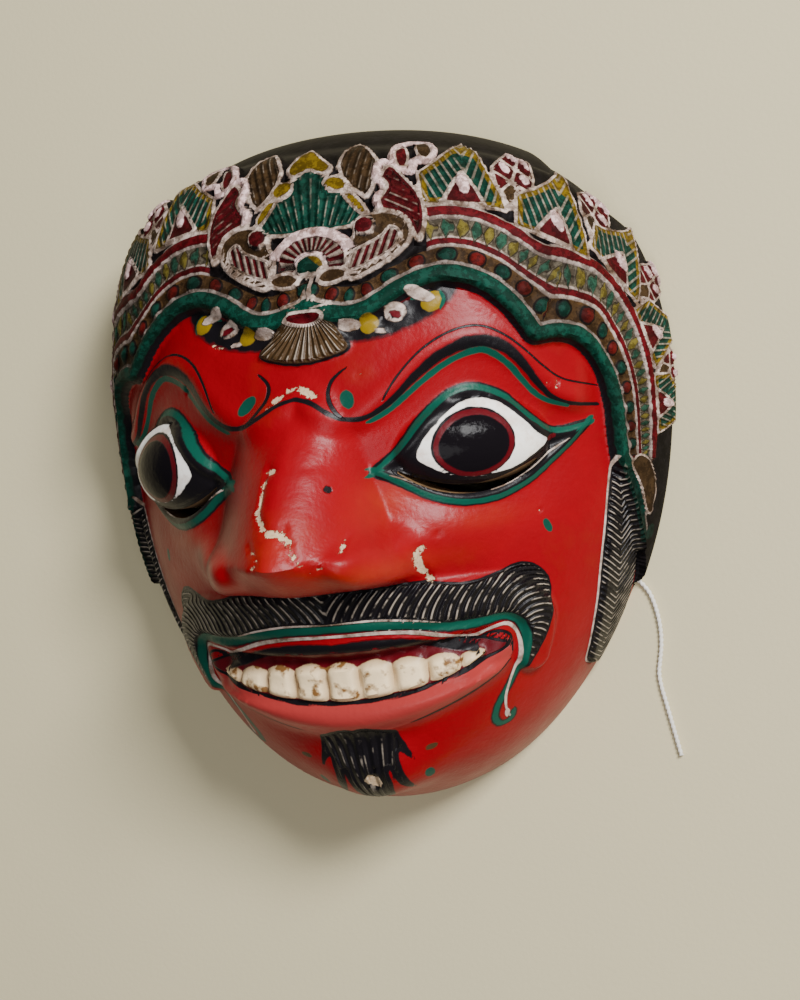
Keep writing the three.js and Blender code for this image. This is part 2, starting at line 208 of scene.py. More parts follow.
def area(points, p, q, steps=60, curved=True):
    """Inside distance of a closed outline: below zero inside it."""
    outline = curve_points(points, steps, closed=True) if curved else np.array(points + [points[0]], float)
    distance, _, _ = curve_distance(outline, p, q)
    inside = np.zeros(p.shape, bool)
    for a, b in zip(outline[:-1], outline[1:]):
        crosses = (a[1] > q) != (b[1] > q)
        rise = b[1] - a[1] if b[1] != a[1] else 1e-9
        inside ^= crosses & (p < (b[0] - a[0]) * (q - a[1]) / rise + a[0])
    return np.where(inside, -np.abs(distance), np.abs(distance))


def oval(centre_p, centre_q, half_p, half_q, p, q, turn=0.0):
    c, s = math.cos(math.radians(turn)), math.sin(math.radians(turn))
    x = (p - centre_p) * c + (q - centre_q) * s
    y = (q - centre_q) * c - (p - centre_p) * s
    k = np.sqrt((x / half_p) ** 2 + (y / half_q) ** 2) + 1e-6
    slope = np.sqrt((x / half_p ** 2) ** 2 + (y / half_q ** 2) ** 2) + 1e-6
    return k * (k - 1) / slope


# ---- the form ----
def rim_radius(angle):
    a, b, c, d, e = RIM_SHAPE
    wave = a * np.sin(angle) + b * np.cos(2 * angle) + c * np.sin(3 * angle)
    return RIM_RADIUS * (1 + wave + d * np.cos(4 * angle) + e * np.sin(5 * angle))


def roundness(angle):
    up = 0.5 + 0.5 * np.tanh(4 * np.sin(angle))
    ends = CROWN_ROUNDNESS * up + CHIN_ROUNDNESS * (1 - up)
    return SIDE_ROUNDNESS * np.cos(angle) ** 2 + ends * np.sin(angle) ** 2


def dome(part, angle, inset=0.0):
    n = roundness(angle)
    s = np.sin(part * math.pi / 2)
    c = np.maximum(np.cos(part * math.pi / 2), 0)
    k = (s ** n + c ** n) ** (-1 / n)
    radius = (rim_radius(angle) - inset) * s * k
    return np.stack(
        [radius * np.cos(angle), radius * np.sin(angle), (DOME_HEIGHT - inset) * c * k], -1)


ARC_ANGLES = np.linspace(-math.pi, math.pi, 361)
ARC_POINTS = dome(np.linspace(0, 1, 65)[None, :], ARC_ANGLES[:, None])
ARC_LENGTHS = np.linalg.norm(np.diff(ARC_POINTS, axis=1), axis=-1).sum(1)


def arc_length(angle):
    return np.interp(angle, ARC_ANGLES, ARC_LENGTHS)


def blank(p, q):
    angle = np.arctan2(q, p)
    return dome(np.minimum(np.hypot(p, q) / arc_length(angle), 1), angle)


def blank_normal(p, q, step=0.4):
    across = blank(p + step, q) - blank(p - step, q)
    up = blank(p, q + step) - blank(p, q - step)
    normal = np.cross(across, up)
    return normal / (np.linalg.norm(normal, axis=-1, keepdims=True) + 1e-9)


def face_place(p, q):
    """Places on the blank as places on the drawing, which sits a little askew on it."""
    up = q * math.cos(FACE_TILT) - p * math.sin(FACE_TILT)
    shift = CROWN_SHIFT * np.exp(-((up - 48) / 24) ** 2)
    across = p * math.cos(FACE_TILT) + q * math.sin(FACE_TILT) - shift
    hold = mound(across, up, -46, 4, 38, 24, 1.5)
    eye_across = (across + 39 + LEFT_EYE_OUT) / LEFT_EYE_SCALE - 39
    eye_up = (up - 2.5) / LEFT_EYE_SCALE + 2
    return across + hold * (eye_across - across), up + hold * (eye_up - up)


def eye_form(p, q):
    radial = 1 - ((p - 41) / 21) ** 2 - ((q - 2) / 11.5) ** 2
    return EYE_BULGE * np.maximum(radial, 0) ** 0.7 - 2 * mound(p, q, 42, 1, 34, 19, 1.5)


def brow_form(p, q):
    distance, _, _ = curve_distance(curve_points(BROW_BASE), p, q)
    ends = smooth(78 - p, 0, 12)
    return ends * (1.6 * np.exp(-(distance / 3) ** 2) + 2 * smooth(distance, -4, 3))


def moustache_form(p, q):
    distance, _, _ = curve_distance(curve_points(MOUSTACHE_BASE), p, q)
    return 2.6 * smooth(6.3 - np.abs(distance), 0, 3)


def mouth_form(p, q):
    reach = np.maximum(1 - (p / 46) ** 2, 0)
    upper = 2.5 * mound(p, q, 0, -42 - 6 * (1 - reach), 60, 3.2) * smooth(reach, 0, 0.3)
    opening = smooth(reach, 0.05, 0.4) * smooth(q, -58, -55) * smooth(-q, 44, 47)
    teeth = 2.2 * smooth(q, -57, -55) * smooth(-q, 46, 48.5) * smooth(reach, 0.35, 0.6)
    rise = -60.5 + 9 * (1 - reach)
    lower = LIP_REACH * np.exp(-((q - rise) / 5) ** 2) * smooth(reach, -0.02, 0.35)
    return upper - 3 * opening + teeth + lower


def nose_form(p, q):
    top, tip, foot = 16.0, -20.0, -30.0
    down = np.clip((top - q) / (top - tip), 0, 1)
    under = np.clip((q - foot) / (tip - foot), 0, 1)
    ridge = np.where(q > tip, 2 + (NOSE_REACH - 2) * down ** 1.15, NOSE_REACH * under ** 0.4)
    ends = smooth(q, foot - 0.5, foot + 2) * smooth(top + 5 - q, 0, 7)
    half_width = 9 + 17 * np.clip((top - q) / (top - foot), 0, 1)
    offset = np.abs(p + 3 * down) / half_width
    wings = 9 * mound(np.abs(p + 4), q, 20, -24, 8, 6.5, 1.5) * smooth(q, foot - 0.5, foot + 2)
    return ridge * ends * np.maximum(1 - offset ** 1.5, 0) ** 0.9 + wings


def large_form(p, q, paint):
    """Heights of the big carving over the blank."""
    side = np.abs(p)
    swell = 9 * mound(p, q, 0, 2, 34, 34) + 3 * mound(side, q, 30, -19, 14, 9)
    chin = 4 * mound(p, q, 0, -84, 18, 12, 1.3)
    features = eye_form(side, q) + brow_form(side, q) + moustache_form(side, q) + mouth_form(side, q)
    step = CROWN_LIFT * smooth(paint["edge"], -3.0, -1.0) * (1 - smooth(q, 73, 85))
    hair = 1.6 * smooth(-paint["sideburn"], 0, 2) + 1.2 * mound(p, q, 0, -80, 11, 14, 2)
    return swell + chin + features + step + hair


# ---- the drawing ----
class Layers:
    """The painted shapes as fields over the face, in millimetres, for each paint.

    An area is an inside distance, below zero in the paint. A line is how far across the
    brush stroke a place is, in half-widths, together with how near the stroke is.
    """

    AREAS = ("black", "rose", "gold", "maroon", "green", "ochre", "white", "pink", "milk", "bone", "ink",
        "chip")
    LINES = ("black", "green", "white", "ink")

    def __init__(self, p, q):
        self.p = p
        self.side = np.abs(p)
        self.q = q
        self.paint = {name: np.full(p.shape, 9.0) for name in self.AREAS}
        self.across = {name: np.full(p.shape, 9.0) for name in self.LINES}
        self.near = {name: np.full(p.shape, 9.0) for name in self.LINES}
        self.raised = np.zeros(p.shape)
        self.rib = np.zeros(p.shape)
        self.rib_area = np.full(p.shape, 9.0)
        self.rib_white = np.zeros(p.shape)

    def place(self, points, margin=3.0, mirrored=True):
        """The part of the face round some points, and its coordinates."""
        low, high = np.min(points, axis=0) - margin, np.max(points, axis=0) + margin
        x = self.side if mirrored else self.p
        where = np.where((x > low[0]) & (x < high[0]) & (self.q > low[1]) & (self.q < high[1]))[0]
        return where, x[where], self.q[where]

    def add(self, name, where, distance):
        self.paint[name][where] = np.minimum(self.paint[name][where], distance)

    def clear(self, where, distance, names):
        """Keeps the named paints, and the white lines, out of a shape."""
        for name in names:
            self.paint[name][where] = np.maximum(self.paint[name][where], -distance)
        self.near["white"][where] = np.maximum(self.near["white"][where], -distance)
        self.rib_area[where] = np.maximum(self.rib_area[where], -distance)

    def stroke(self, name, where, distance, half):
        gap = np.abs(distance) - half
        nearer = gap < self.near[name][where]
        across = np.clip(distance / half, -20, 20)
        self.across[name][where] = np.where(nearer, across, self.across[name][where])
        self.near[name][where] = np.where(nearer, gap, self.near[name][where])

    def raise_by(self, where, distance, height, slope=0.9):
        lift = height * smooth(-distance, -slope / 2, slope / 2)
        self.raised[where] = np.maximum(self.raised[where], lift)

    def outlined(self, name, points, height=1.2, edge=0.4, curved=True, mirrored=True):
        """A raised painted shape with a pale ridge round it."""
        where, p, q = self.place(points, 3.0, mirrored)
        distance = area(points, p, q, 56, curved)
        self.clear(where, distance, [n for n in COVERED if n != name])
        self.add(name, where, distance)
        self.stroke("white", where, distance, edge)
        self.raise_by(where, distance, height - 0.35)
        self.raise_by(where, np.abs(distance) - edge, height)
        return where, distance

    def line(self, name, points, width, taper=0.0, mirrored=True, steps=48):
        """A brush line that thins towards its ends by the taper."""
        where, p, q = self.place(points, width + 3, mirrored)
        distance, along, length = curve_distance(curve_points(points, steps), p, q)
        part = along / length
        half = width / 2 * (1 - taper + taper * np.sqrt(np.clip(4 * part * (1 - part), 0, 1)))
        self.stroke(name, where, distance, half)
        return where, np.abs(distance) - half

    def dot(self, name, centre_p, centre_q, half_p, half_q, turn=0.0, mirrored=True):
        reach = max(half_p, half_q)
        corners = [(centre_p - reach, centre_q - reach), (centre_p + reach, centre_q + reach)]
        where, p, q = self.place(corners, 3.0, mirrored)
        distance = oval(centre_p, centre_q, half_p, half_q, p, q, turn)
        self.add(name, where, distance)
        return where, distance

    def ribs(self, where, distance, phase, white):
        """Fine ribs inside a shape; the phase counts ribs, and white is how much paint they keep."""
        nearer = distance < np.minimum(self.rib_area[where], 0.5)
        self.rib[where] = np.where(nearer, phase, self.rib[where])
        self.rib_white[where] = np.where(nearer, white, self.rib_white[where])
        self.rib_area[where] = np.minimum(self.rib_area[where], distance)


COVERED = ("gold", "maroon", "green", "ochre", "white", "pink")


def draw_crown_bands(layers):
    """Fields for the bands along the crown's lower edge, and their carving."""
    p, q = layers.side, layers.q
    edge, along, _ = curve_distance(curve_points(CROWN_EDGE, 90), p, q)
    upper, _, _ = curve_distance(curve_points(UPPER_BAND, 80), p, q)
    span = np.maximum(edge, 0) + np.maximum(-upper, 0) + 1e-6
    band = np.where(upper < 0, np.maximum(edge, 0) / span * BAND_WIDTH, BAND_WIDTH + upper)
    here = np.arange(len(p))
    layers.add("black", here, -2.6 - edge)
    ends = -9 - layers.q
    chain_area = np.maximum(26.2 - p, ends)
    layers.raise_by(here, np.maximum(np.abs(edge) - 1.6, ends), 1.1)
    for middle, half, lift in ((6.9, 1.3, 0.9), (14.3, 1.4, 1.2)):
        layers.raise_by(here, np.maximum(np.abs(band - middle) - half, chain_area), lift)
    step = np.mod(along - STUD_START + STUD_SPACING / 2, STUD_SPACING) - STUD_SPACING / 2
    stud = np.hypot(step, (band - STUD_HEIGHT) * span / BAND_WIDTH) - 1.5
    layers.raise_by(here, np.maximum(stud, ends), 1.3, 1.8)
    step = np.mod(along, LEAF_SPACING) - LEAF_SPACING / 2
    leaf = np.abs(step) * 1.3 + np.abs(band - 10.3) * 0.42 - 1.1
    layers.raise_by(here, np.maximum(leaf, chain_area), 0.9, 1.2)
    return {"edge": edge, "along": along, "band": band, "chain_area": chain_area, "ends": ends}


def local_shape(points, base, turn, size=1.0):
    """Points drawn upright about the origin, stood on a base place and leant outwards."""
    c, s = math.cos(math.radians(turn)), math.sin(math.radians(turn))
    return [(base[0] + size * (x * c + y * s), base[1] + size * (y * c - x * s)) for x, y in points]


def draw_tall_leaf(layers, base, turn, size):
    """A two-legged leaf over a little doorway with a drop in it."""
    body = local_shape(
        [(-10, 0), (-10.4, 8.8), (-5.8, 13), (-2, 18), (0.6, 23), (2.2, 28.5), (4.4, 20), (6.2, 12),
         (8.6, 3.5), (9.2, 0)], base, turn, size)
    where, distance = layers.outlined("green", body, 1.4, 0.4, curved=False)
    p, q = layers.side[where], layers.q[where]
    c, s = math.cos(math.radians(turn)), math.sin(math.radians(turn))
    x = ((p - base[0]) * c - (q - base[1]) * s) / size
    y = ((p - base[0]) * s + (q - base[1]) * c) / size
    layers.add("ochre", where, np.maximum(distance, 16.5 - y - 0.35 * np.abs(x)))
    layers.add("ochre", where, np.maximum(distance, -1.7 - distance))
    layers.ribs(where, distance + 0.6, (np.abs(x - 0.8) * 0.9 - y * 0.35) / 1.9, 0.36)
    door = local_shape([(-5.6, 0.5), (-2.8, 5.6), (0, 10), (2.2, 5.6), (4.2, 0.5)], base, turn, size)
    layers.outlined("maroon", door, 1.6, 0.5, curved=False)
    drop = local_shape([(-0.3, 6.0)], base, turn, size)[0]
    at, blob = layers.dot("pink", drop[0], drop[1], 1.45 * size, 2.9 * size, turn)
    layers.raise_by(at, blob, 2.2, 1.2)


def draw_small_leaf(layers, base, turn, size):
    """A cluster of four cells with drops, between two tall leaves."""
    spear = local_shape(
        [(0, 0.5), (-4, 6), (-6, 11.5), (-4.6, 16.5), (-3, 22), (-0.4, 27), (2.6, 22), (4.6, 14),
         (4.4, 8), (2.4, 3)], base, turn, size)
    layers.outlined("maroon", spear, 1.2, 0.4, curved=False)
    low = local_shape([(-0.2, 1.2), (-2.6, 5), (-0.6, 9.2), (2.4, 5.4)], base, turn, size)
    layers.outlined("gold", low, 1.3, 0.35, curved=False)
    for ends in (((-5.6, 10.6), (-0.6, 9.2)), ((-0.6, 9.2), (4.4, 8.4)), ((-0.6, 9.2), (-0.2, 15)),
                 ((-4.4, 16), (4.4, 13.4)), ((-0.2, 15), (-0.4, 26))):
        layers.line("white", local_shape(list(ends), base, turn, size), 0.8, steps=4)
    for x, y, wide, high in ((-3, 13.2, 1.1, 1.9), (2.2, 12, 1.3, 1.6), (-1.9, 19.4, 1.3, 2.9),
        (1.4, 18.6, 1.0, 2.4)):
        spot = local_shape([(x, y)], base, turn, size)[0]
        at, blob = layers.dot("pink", spot[0], spot[1], wide * size, high * size, turn)
        layers.raise_by(at, blob, 1.9, 1.0)


def draw_centre_ornament(layers):
    """Leaves, wings, scrolls and the gem over the middle of the forehead."""
    arrow = [(11.8, 81), (14.1, 77), (16.9, 71), (16.4, 67), (15.2, 62.5), (13.4, 60.2), (10.4, 63),
             (8.2, 66.6), (7.3, 70.4), (8.7, 75)]
    where, distance = layers.outlined("gold", arrow, 1.4, 0.5, curved=False)
    p, q = layers.side[where], layers.q[where]
    layers.ribs(where, distance + 0.8, (p - 0.25 * (q - 70)) / 1.9, 0.06)
    half = [(2.8, 69.6), (4.6, 67.6), (3.8, 64.8), (5.4, 62.4), (8.8, 62), (9.8, 59.6), (12.2, 57.2),
        (11.2, 53.6)]
    leaf = [(0, 70.2)] + half + [(0, 53)] + [(-x, y) for x, y in reversed(half)]
    where, distance = layers.outlined("green", leaf, 2.0, 0.4, mirrored=False)
    lean = layers.p[where] / np.maximum(layers.q[where] - 38, 4)
    layers.ribs(where, distance + 0.9, lean * 11, 0.1)
    top = [(0, 76.4), (3, 73), (5.6, 69.6), (3.6, 67.6), (0, 69.2), (-3.6, 67.6), (-5.4, 69.8), (-3.6, 73)]
    layers.outlined("ochre", top, 2.2, 0.45, mirrored=False)
    for lobe in ([(3.9, 64.6), (4.8, 66.4), (7.4, 66.4), (9.2, 64.4), (8.6, 62.4), (5.8, 62.8)],
                 [(8.4, 61.2), (10.2, 61.6), (12.6, 58.8), (13.8, 55.8), (12.2, 56), (10, 58.6)]):
        layers.outlined("ochre", lobe, 2.2, 0.4)
    frond = [(20.2, 68), (19.4, 72), (21, 76.4), (24.8, 79.8), (28.9, 80), (31.2, 77.5), (31.3, 73),
        (29.3, 69.2),
             (26.4, 69.6), (25.6, 66.4), (23.4, 65.8)]
    where, p, q = layers.place(frond, 3.0)
    distance = area(frond, p, q, 56)
    layers.clear(where, distance, COVERED)
    layers.add("pink", where, np.abs(distance + 0.9) - 0.95)
    layers.raise_by(where, np.abs(distance + 0.9) - 0.9, 1.8)
    layers.outlined("gold", [(26.2, 74.6), (27, 78), (28.8, 78.2), (30, 75), (29.4, 71.4),
        (27.4, 71)], 1.6, 0.35)
    layers.outlined("maroon", [(21.6, 68.6), (21.2, 73.2), (23.6, 75.6), (24.2, 71.4),
        (23.2, 68)], 1.5, 0.35)
    wing = [(24.8, 48.4), (26.1, 53), (26.1, 57), (24.9, 61), (22.4, 65), (20.3, 68.2), (18.6, 67.6),
        (17.5, 65),
            (18.6, 62.5), (17.2, 60), (16, 58), (16.4, 56.4), (19.2, 55.7), (22.1, 53.8), (23.4, 50.6)]
    where, distance = layers.outlined("maroon", wing, 2.2, 0.5)
    layers.ribs(where, distance + 1.2, (layers.side[where] * 0.6 + layers.q[where]) / 2.3, 0.15)
    for points in ([(17.6, 62.6), (16.4, 65.6), (17, 68.8), (19, 69.8)], [(16.6, 57), (15.8, 59),
        (17.2, 61.2)]):
        at, blob = layers.line("white", points, 2.0, 0.4)
        layers.add("pink", at, blob)
        layers.raise_by(at, blob, 2.6, 1.2)
    scroll = [(9.4, 42.8), (10.8, 41.2), (15.8, 43.2), (20.8, 46.3), (23, 50.2), (21.6, 54), (17.6, 55.9),
              (13.2, 55.4), (10.8, 53.4), (10.2, 50.4), (8.6, 48)]
    layers.outlined("gold", scroll, 2.0, 0.5)
    comb = [(9.8, 43.4), (14.9, 44.7), (19.3, 47.2), (20.6, 50.4), (18.6, 52.2), (16.6, 50.2),
        (13.3, 48.6), (10.2, 47.2)]
    where, distance = layers.outlined("maroon", comb, 1.5, 0.4)
    p, q = layers.side[where], layers.q[where]
    layers.ribs(where, distance + 0.1, (p * 0.95 - (q - 46) * 0.3) / 1.6, 1.0)
    at, ball = layers.dot("white", 12.9, 52.8, 2.7, 2.5)
    layers.clear(at, ball, ("gold", "maroon"))
    layers.clear(at, ball + 0.7, ("white",))
    layers.add("maroon", at, ball + 0.7)
    layers.raise_by(at, ball, 2.8, 1.4)
    fan_p, fan_q = 0.5, 45.5
    where, p, q = layers.place([(-10, 42), (10, 55)], 3.0, mirrored=False)
    ring = np.sqrt(((p - fan_p) / 8.2) ** 2 + ((q - fan_q) / 6.3) ** 2)
    border = np.maximum((ring - 1.36) * 6.6, 44.6 - q + 0.35 * np.abs(p))
    layers.clear(where, border, COVERED)
    layers.add("pink", where, border)
    layers.raise_by(where, border, 2.2, 1.2)
    ribs = np.maximum((np.abs(ring - 0.76) - 0.25) * 7, 44.8 - q)
    layers.clear(where, ribs, ("pink",))
    layers.add("maroon", where, ribs)
    layers.ribs(where, ribs + 0.05, np.arctan2(q - fan_q, p - fan_p) / math.radians(14), 1.0)
    gem = np.maximum(oval(fan_p, 45.2, 3.5, 2.6, p, q), 43.5 - q)
    layers.clear(where, gem, ("pink", "maroon"))
    layers.stroke("white", where, gem, 0.4)
    yellow = np.maximum(gem, 1.2 - (p - fan_p) * 0.8 - (q - 45.6))
    layers.add("ochre", where, yellow)
    layers.add("green", where, gem)
    layers.raise_by(where, gem, 3.0, 1.6)
    drop = [(2.2, 42.8), (4.8, 44.4), (8.2, 44), (9.6, 42.4), (7, 41.2), (3.8, 41.2)]
    layers.outlined("gold", drop, 1.9, 0.45)
    layers.line("white", [(0.5, 43.6), (0.5, 41), (0.4, 38.6)], 1.0, mirrored=False)
    layers.line("white", [(0.5, 40), (2.4, 38), (6, 36.9)], 0.8)


def draw_fringe(layers):
    """Little flowers under the green edge, and the tassel between the brows."""
    layers.line("black", [(9, 30.4), (15, 30.6), (21, 32), (27, 35), (31, 38)], 6.4, 0.3)
    for name, p, q, half_p, half_q, turn in (
            ("white", 10.4, 31.5, 2.7, 1.3, -8), ("ochre", 14.8, 31.2, 2.0, 2.2, 20),
            ("white", 20.2, 33.2, 2.5, 2.2, -20),
            ("white", 25.2, 36.8, 3.4, 1.3, -20), ("ochre", 28, 35.2, 2.6, 2.3, 30),
            ("white", 17.4, 29.4, 1.6, 0.6, -10)):
        at, blob = layers.dot(name, p, q, half_p, half_q, turn)
        layers.raise_by(at, blob, 1.0, 1.2)
    layers.clear(*layers.dot("maroon", 20.4, 32.8, 1.6, 0.8, -20), ("white",))
    layers.line("green", [(23.4, 36), (25.4, 36.4), (27, 37.4)], 0.9, 0.4)
    layers.line("green", [(29.8, 33.6), (30.4, 35.6), (29.4, 37.4)], 0.9, 0.4)
    tassel = [(-6, 33), (-8.6, 30), (-10.6, 26.4), (-5, 24.8), (0, 24.4), (5, 24.8), (10.6, 26.4),
        (8.6, 30), (6, 33), (0, 34.2)]
    where, p, q = layers.place(tassel, 3.0, mirrored=False)
    distance = area(tassel, p, q)
    layers.clear(where, distance, COVERED)
    layers.add("black", where, distance - 0.6)
    layers.add("gold", where, distance)
    layers.raise_by(where, distance, 2.4, 1.6)
    layers.ribs(where, distance + 0.3, p / np.maximum(37 - q, 3) * 6.2, 0.15)
    cap = [(-4.6, 33.6), (0, 32.8), (4.6, 33.6), (3.6, 35.3), (0, 35.6), (-3.6, 35.3)]
    layers.outlined("maroon", cap, 2.4, 0.4, mirrored=False)


def draw_eyes(layers):
    lids = LID_UPPER + LID_LOWER[::-1][1:-1]
    where, p, q = layers.place(lids, 4.0)
    almond = area(lids, p, q, 80)
    layers.add("black", where, almond - 0.4)
    layers.raise_by(where, np.abs(almond + 1.9) - 1.3, 1.4, 2.6)
    for lid, side in ((LID_UPPER, -1), (LID_LOWER, 1)):
        distance, _, _ = curve_distance(curve_points(lid, 48), p, q)
        layers.stroke("green", where, distance - side * 0.75, 0.7)
    layers.line("white", LID_LINE, 0.55, 0.3)
    where, p, q = layers.place(EYE_WHITE, 3.0)
    white = area(EYE_WHITE, p, q, 60)
    iris = oval(38.9, 2.6, 10.4, 9.0, p, q)
    layers.add("milk", where, white)
    layers.clear(where, np.maximum(iris, white), ("milk",))
    layers.add("black", where, np.maximum(iris, white))
    ring = np.abs(oval(39.0, 2.45, 9.3, 8.0, p, q)) - 0.65
    layers.add("maroon", where, np.maximum(ring, white))
    layers.line("ink", SLIT_LINE, 2.6, 0.55)
    layers.dot("maroon", 61.2, 2.3, 1.9, 0.9, 10)
    return oval(39.1, 2.3, 8.7, 7.4, layers.side, layers.q)


def draw_brows(layers):
    where, p, q = layers.place(BROW_INK, 4.0)
    distance, along, length = curve_distance(curve_points(BROW_INK, 60), p, q)
    part = along / length
    layers.stroke("black", where, distance, 0.5 + 1.0 * np.exp(-((part - 0.52) / 0.2) ** 2))
    layers.line("green", BROW_GREEN, 1.5, 0.5)
    layers.line("ink", BROW_THIN, 0.55, 0.3)
    layers.line("ink", [(10.4, 22), (7.6, 19.4), (7.2, 16), (9, 12), (10.6, 10.2)], 0.9, 0.6)
    layers.dot("green", 11.2, 14.6, 1.4, 2.4, 22)
    for points, width in (([(-4.4, 16.2), (-0.5, 18.6), (4.4, 16)], 1.5), ([(-6, 14.4),
        (-3.8, 16.6)], 0.9)):
        at, blob = layers.line("ink", points, 0.01, 0.0, mirrored=False)
        layers.add("chip", at, blob - width / 2)


def draw_mouth(layers):
    where, p, q = layers.place(MOUSTACHE, 4.0)
    hair = area(MOUSTACHE, p, q, 90)
    layers.add("black", where, hair)
    base, along, _ = curve_distance(curve_points(MOUSTACHE_BASE, 60), p, q)
    layers.ribs(where, hair + 0.7, (along - base * 0.6 - 0.05 * base * base) / 2.1, 0.16)
    layers.line("green", LIP_GREEN, 2.0, 0.2)
    layers.line("black", LIP_GREEN, 3.0, 0.2)
    layers.line("white", LIP_WHITE, 1.0, 0.4)
    layers.line("white", [(0, -36.9), (10, -37), (19, -38.5), (26, -40.6)], 0.5, 0.6)
    layers.line("ink", [(a, b - 1.5) for a, b in LIP_RED[:5]], 2.4, 0.4)
    layers.line("ink", LIP_RED[4:], 0.8, 0.6)
    layers.dot("white", 39.7, -76, 0.8, 1.9)
    where, p, q = layers.place([(-1, -42), (46, -58)], 3.0)
    reach = np.maximum(1 - (p / 44) ** 2, 0)
    top = -43.6 - 8.2 * (1 - reach) ** 1.3
    bottom = -56.6 + 4.8 * (1 - reach)
    recess = np.maximum(np.maximum(q - top, bottom - q), p - 43)
    layers.add("maroon", where, recess)
    layers.stroke("ink", where, recess, 0.4)
    tooth = 8.4
    which = np.floor(p / tooth + 0.5)
    x = p - which * tooth
    curl = 1.3 * (x / (tooth / 2)) ** 2
    top = -47.0 - 0.0030 * p ** 2 - curl
    bottom = -56.3 + 0.0030 * p ** 2 + 0.3 * curl
    tooth_edge = np.maximum(np.abs(x) - tooth / 2 + 0.06, p - 39.5)
    teeth = np.maximum(np.maximum(q - top, bottom - q), tooth_edge)
    layers.add("bone", where, teeth)
    bulge = 2.2 * np.clip(1 - (x / tooth * 2) ** 4, 0, 1) ** 0.5 * smooth(-teeth, -0.4, 1.4)
    layers.raised[where] = np.maximum(layers.raised[where], bulge)
    where, p, q = layers.place(LOWER_LIP, 3.0)
    layers.add("rose", where, area(LOWER_LIP, p, q, 60))
    layers.line("ink", [(0, -56.8), (14, -56.5), (26, -54.8), (36, -52)], 0.7, 0.4)
    # Painted shade: a black line along the underside of the lower lip.
    layers.line("ink", [(14, -65), (24, -62.8), (34, -60.4), (43, -56.6)], 1.0, 0.8)


def draw_chin_and_cheeks(layers):
    where, p, q = layers.place(GOATEE, 3.0)
    tuft = area(GOATEE, p, q, 70)
    layers.add("black", where, tuft)
    layers.ribs(where, tuft + 1.2, p / np.maximum(110 + q, 8) * 16, 0.0)
    layers.dot("chip", 1.0, -81, 1.9, 2.6, 10, mirrored=False)
    layers.dot("chip", 2.2, -76.8, 1.0, 0.5, 0, mirrored=False)
    layers.dot("green", 14.8, -85, 1.4, 2.4)
    layers.dot("gold", 17.4, -75.4, 1.9, 0.9)
    layers.dot("green", 59, -22.6, 1.1, 2.2, 25)
    where, p, q = layers.place(SIDEBURN, 4.0)
    hair = area(SIDEBURN, p, q, 70)
    layers.add("black", where, hair)
    layers.line("white", SIDEBURN[:8], 0.7, 0.2)
    middle, along, _ = curve_distance(curve_points(SIDEBURN_BASE, 40), p, q)
    layers.ribs(where, hair + 0.8, (along + np.abs(middle) * 0.9) / 2.2, 0.2)
    leaf = [(86.4, -7), (90, -5), (94.5, -8), (97, -16), (95, -25), (92.6, -24), (90.4, -16), (88, -11)]
    layers.outlined("gold", leaf, 1.2, 0.35)
    layers.dot("green", 96, -33, 2.2, 3.0, -20)
    layers.dot("ink", 8, -5.2, 0.6, 1.1, 30, mirrored=False)


def draw_chips(layers):
    """Paint knocked off down to the ground coat, on the ridge of the nose and round its tip."""
    for points, width in (
            ([(-3.6, 1.2), (-4.4, -4), (-5.4, -9)], 1.0), ([(-5.4, -9), (-3, -12), (0, -12.6),
                (1.6, -15)], 1.8),
            ([(1.2, -15.4), (4, -19.4), (8, -21.6)], 1.0), ([(-8, -15), (-5, -17.6), (-6.6, -20)], 0.9),
            ([(24.6, -22.4), (24, -26), (25.4, -30)], 2.0), ([(11.4, -16.4), (11.8, -18.8)], 0.8),
            ([(61.6, 17.4), (61.4, 15.6)], 0.7), ([(-24, 30), (-21, 28.6)], 1.0)):
        at, blob = layers.line("ink", points, 0.01, 0.0, mirrored=False)
        layers.add("chip", at, blob - width / 2)
    for p, q, size in ((-2.6, 0.4, 0.9), (0.6, -11.6, 1.1), (28.8, -19.8, 0.6), (57.2, -18.2, 0.5),
        (13.6, 20, 0.5),
                       (47, 22.4, 0.5), (5.6, -22, 0.6), (-30, 20, 0.8), (38, 24.8, 0.4), (58.6, 17, 0.5)):
        layers.dot("chip", p, q, size, size * 0.8, 30, mirrored=False)


def draw_face(p, q):
    """All the painted shapes on the mask, with what they add to the carving."""
    layers = Layers(p, q)
    bands = draw_crown_bands(layers)
    for base, turn, size in SMALL_LEAVES:
        draw_small_leaf(layers, base, turn, size)
    for base, turn, size in TALL_LEAVES:
        draw_tall_leaf(layers, base, turn, size)
    draw_centre_ornament(layers)
    draw_fringe(layers)
    pupil = draw_eyes(layers)
    draw_brows(layers)
    draw_mouth(layers)
    draw_chin_and_cheeks(layers)
    draw_chips(layers)
    where, side, up = layers.place(SIDEBURN, 6.0)
    sideburn = np.full(p.shape, 9.0)
    sideburn[where] = area(SIDEBURN, side, up, 70)
    paint = dict(layers.paint)
    paint.update(bands)
    paint.update({name + "_across": values for name, values in layers.across.items()})
    paint.update({name + "_near": values for name, values in layers.near.items()})
    worn = mound(p, q, 19, -10, 6, 5) + mound(p, q, 10, -25, 20, 2.6) + 0.7 * mound(p, q, -2, -16, 8, 5)
    worn += 0.6 * mound(np.abs(p), q, 39, -17, 12, 3)
    paint.update(sideburn=sideburn, pupil=pupil, worn=worn, raised=layers.raised, rib=layers.rib,
                 rib_area=layers.rib_area, rib_white=layers.rib_white)
    return paint


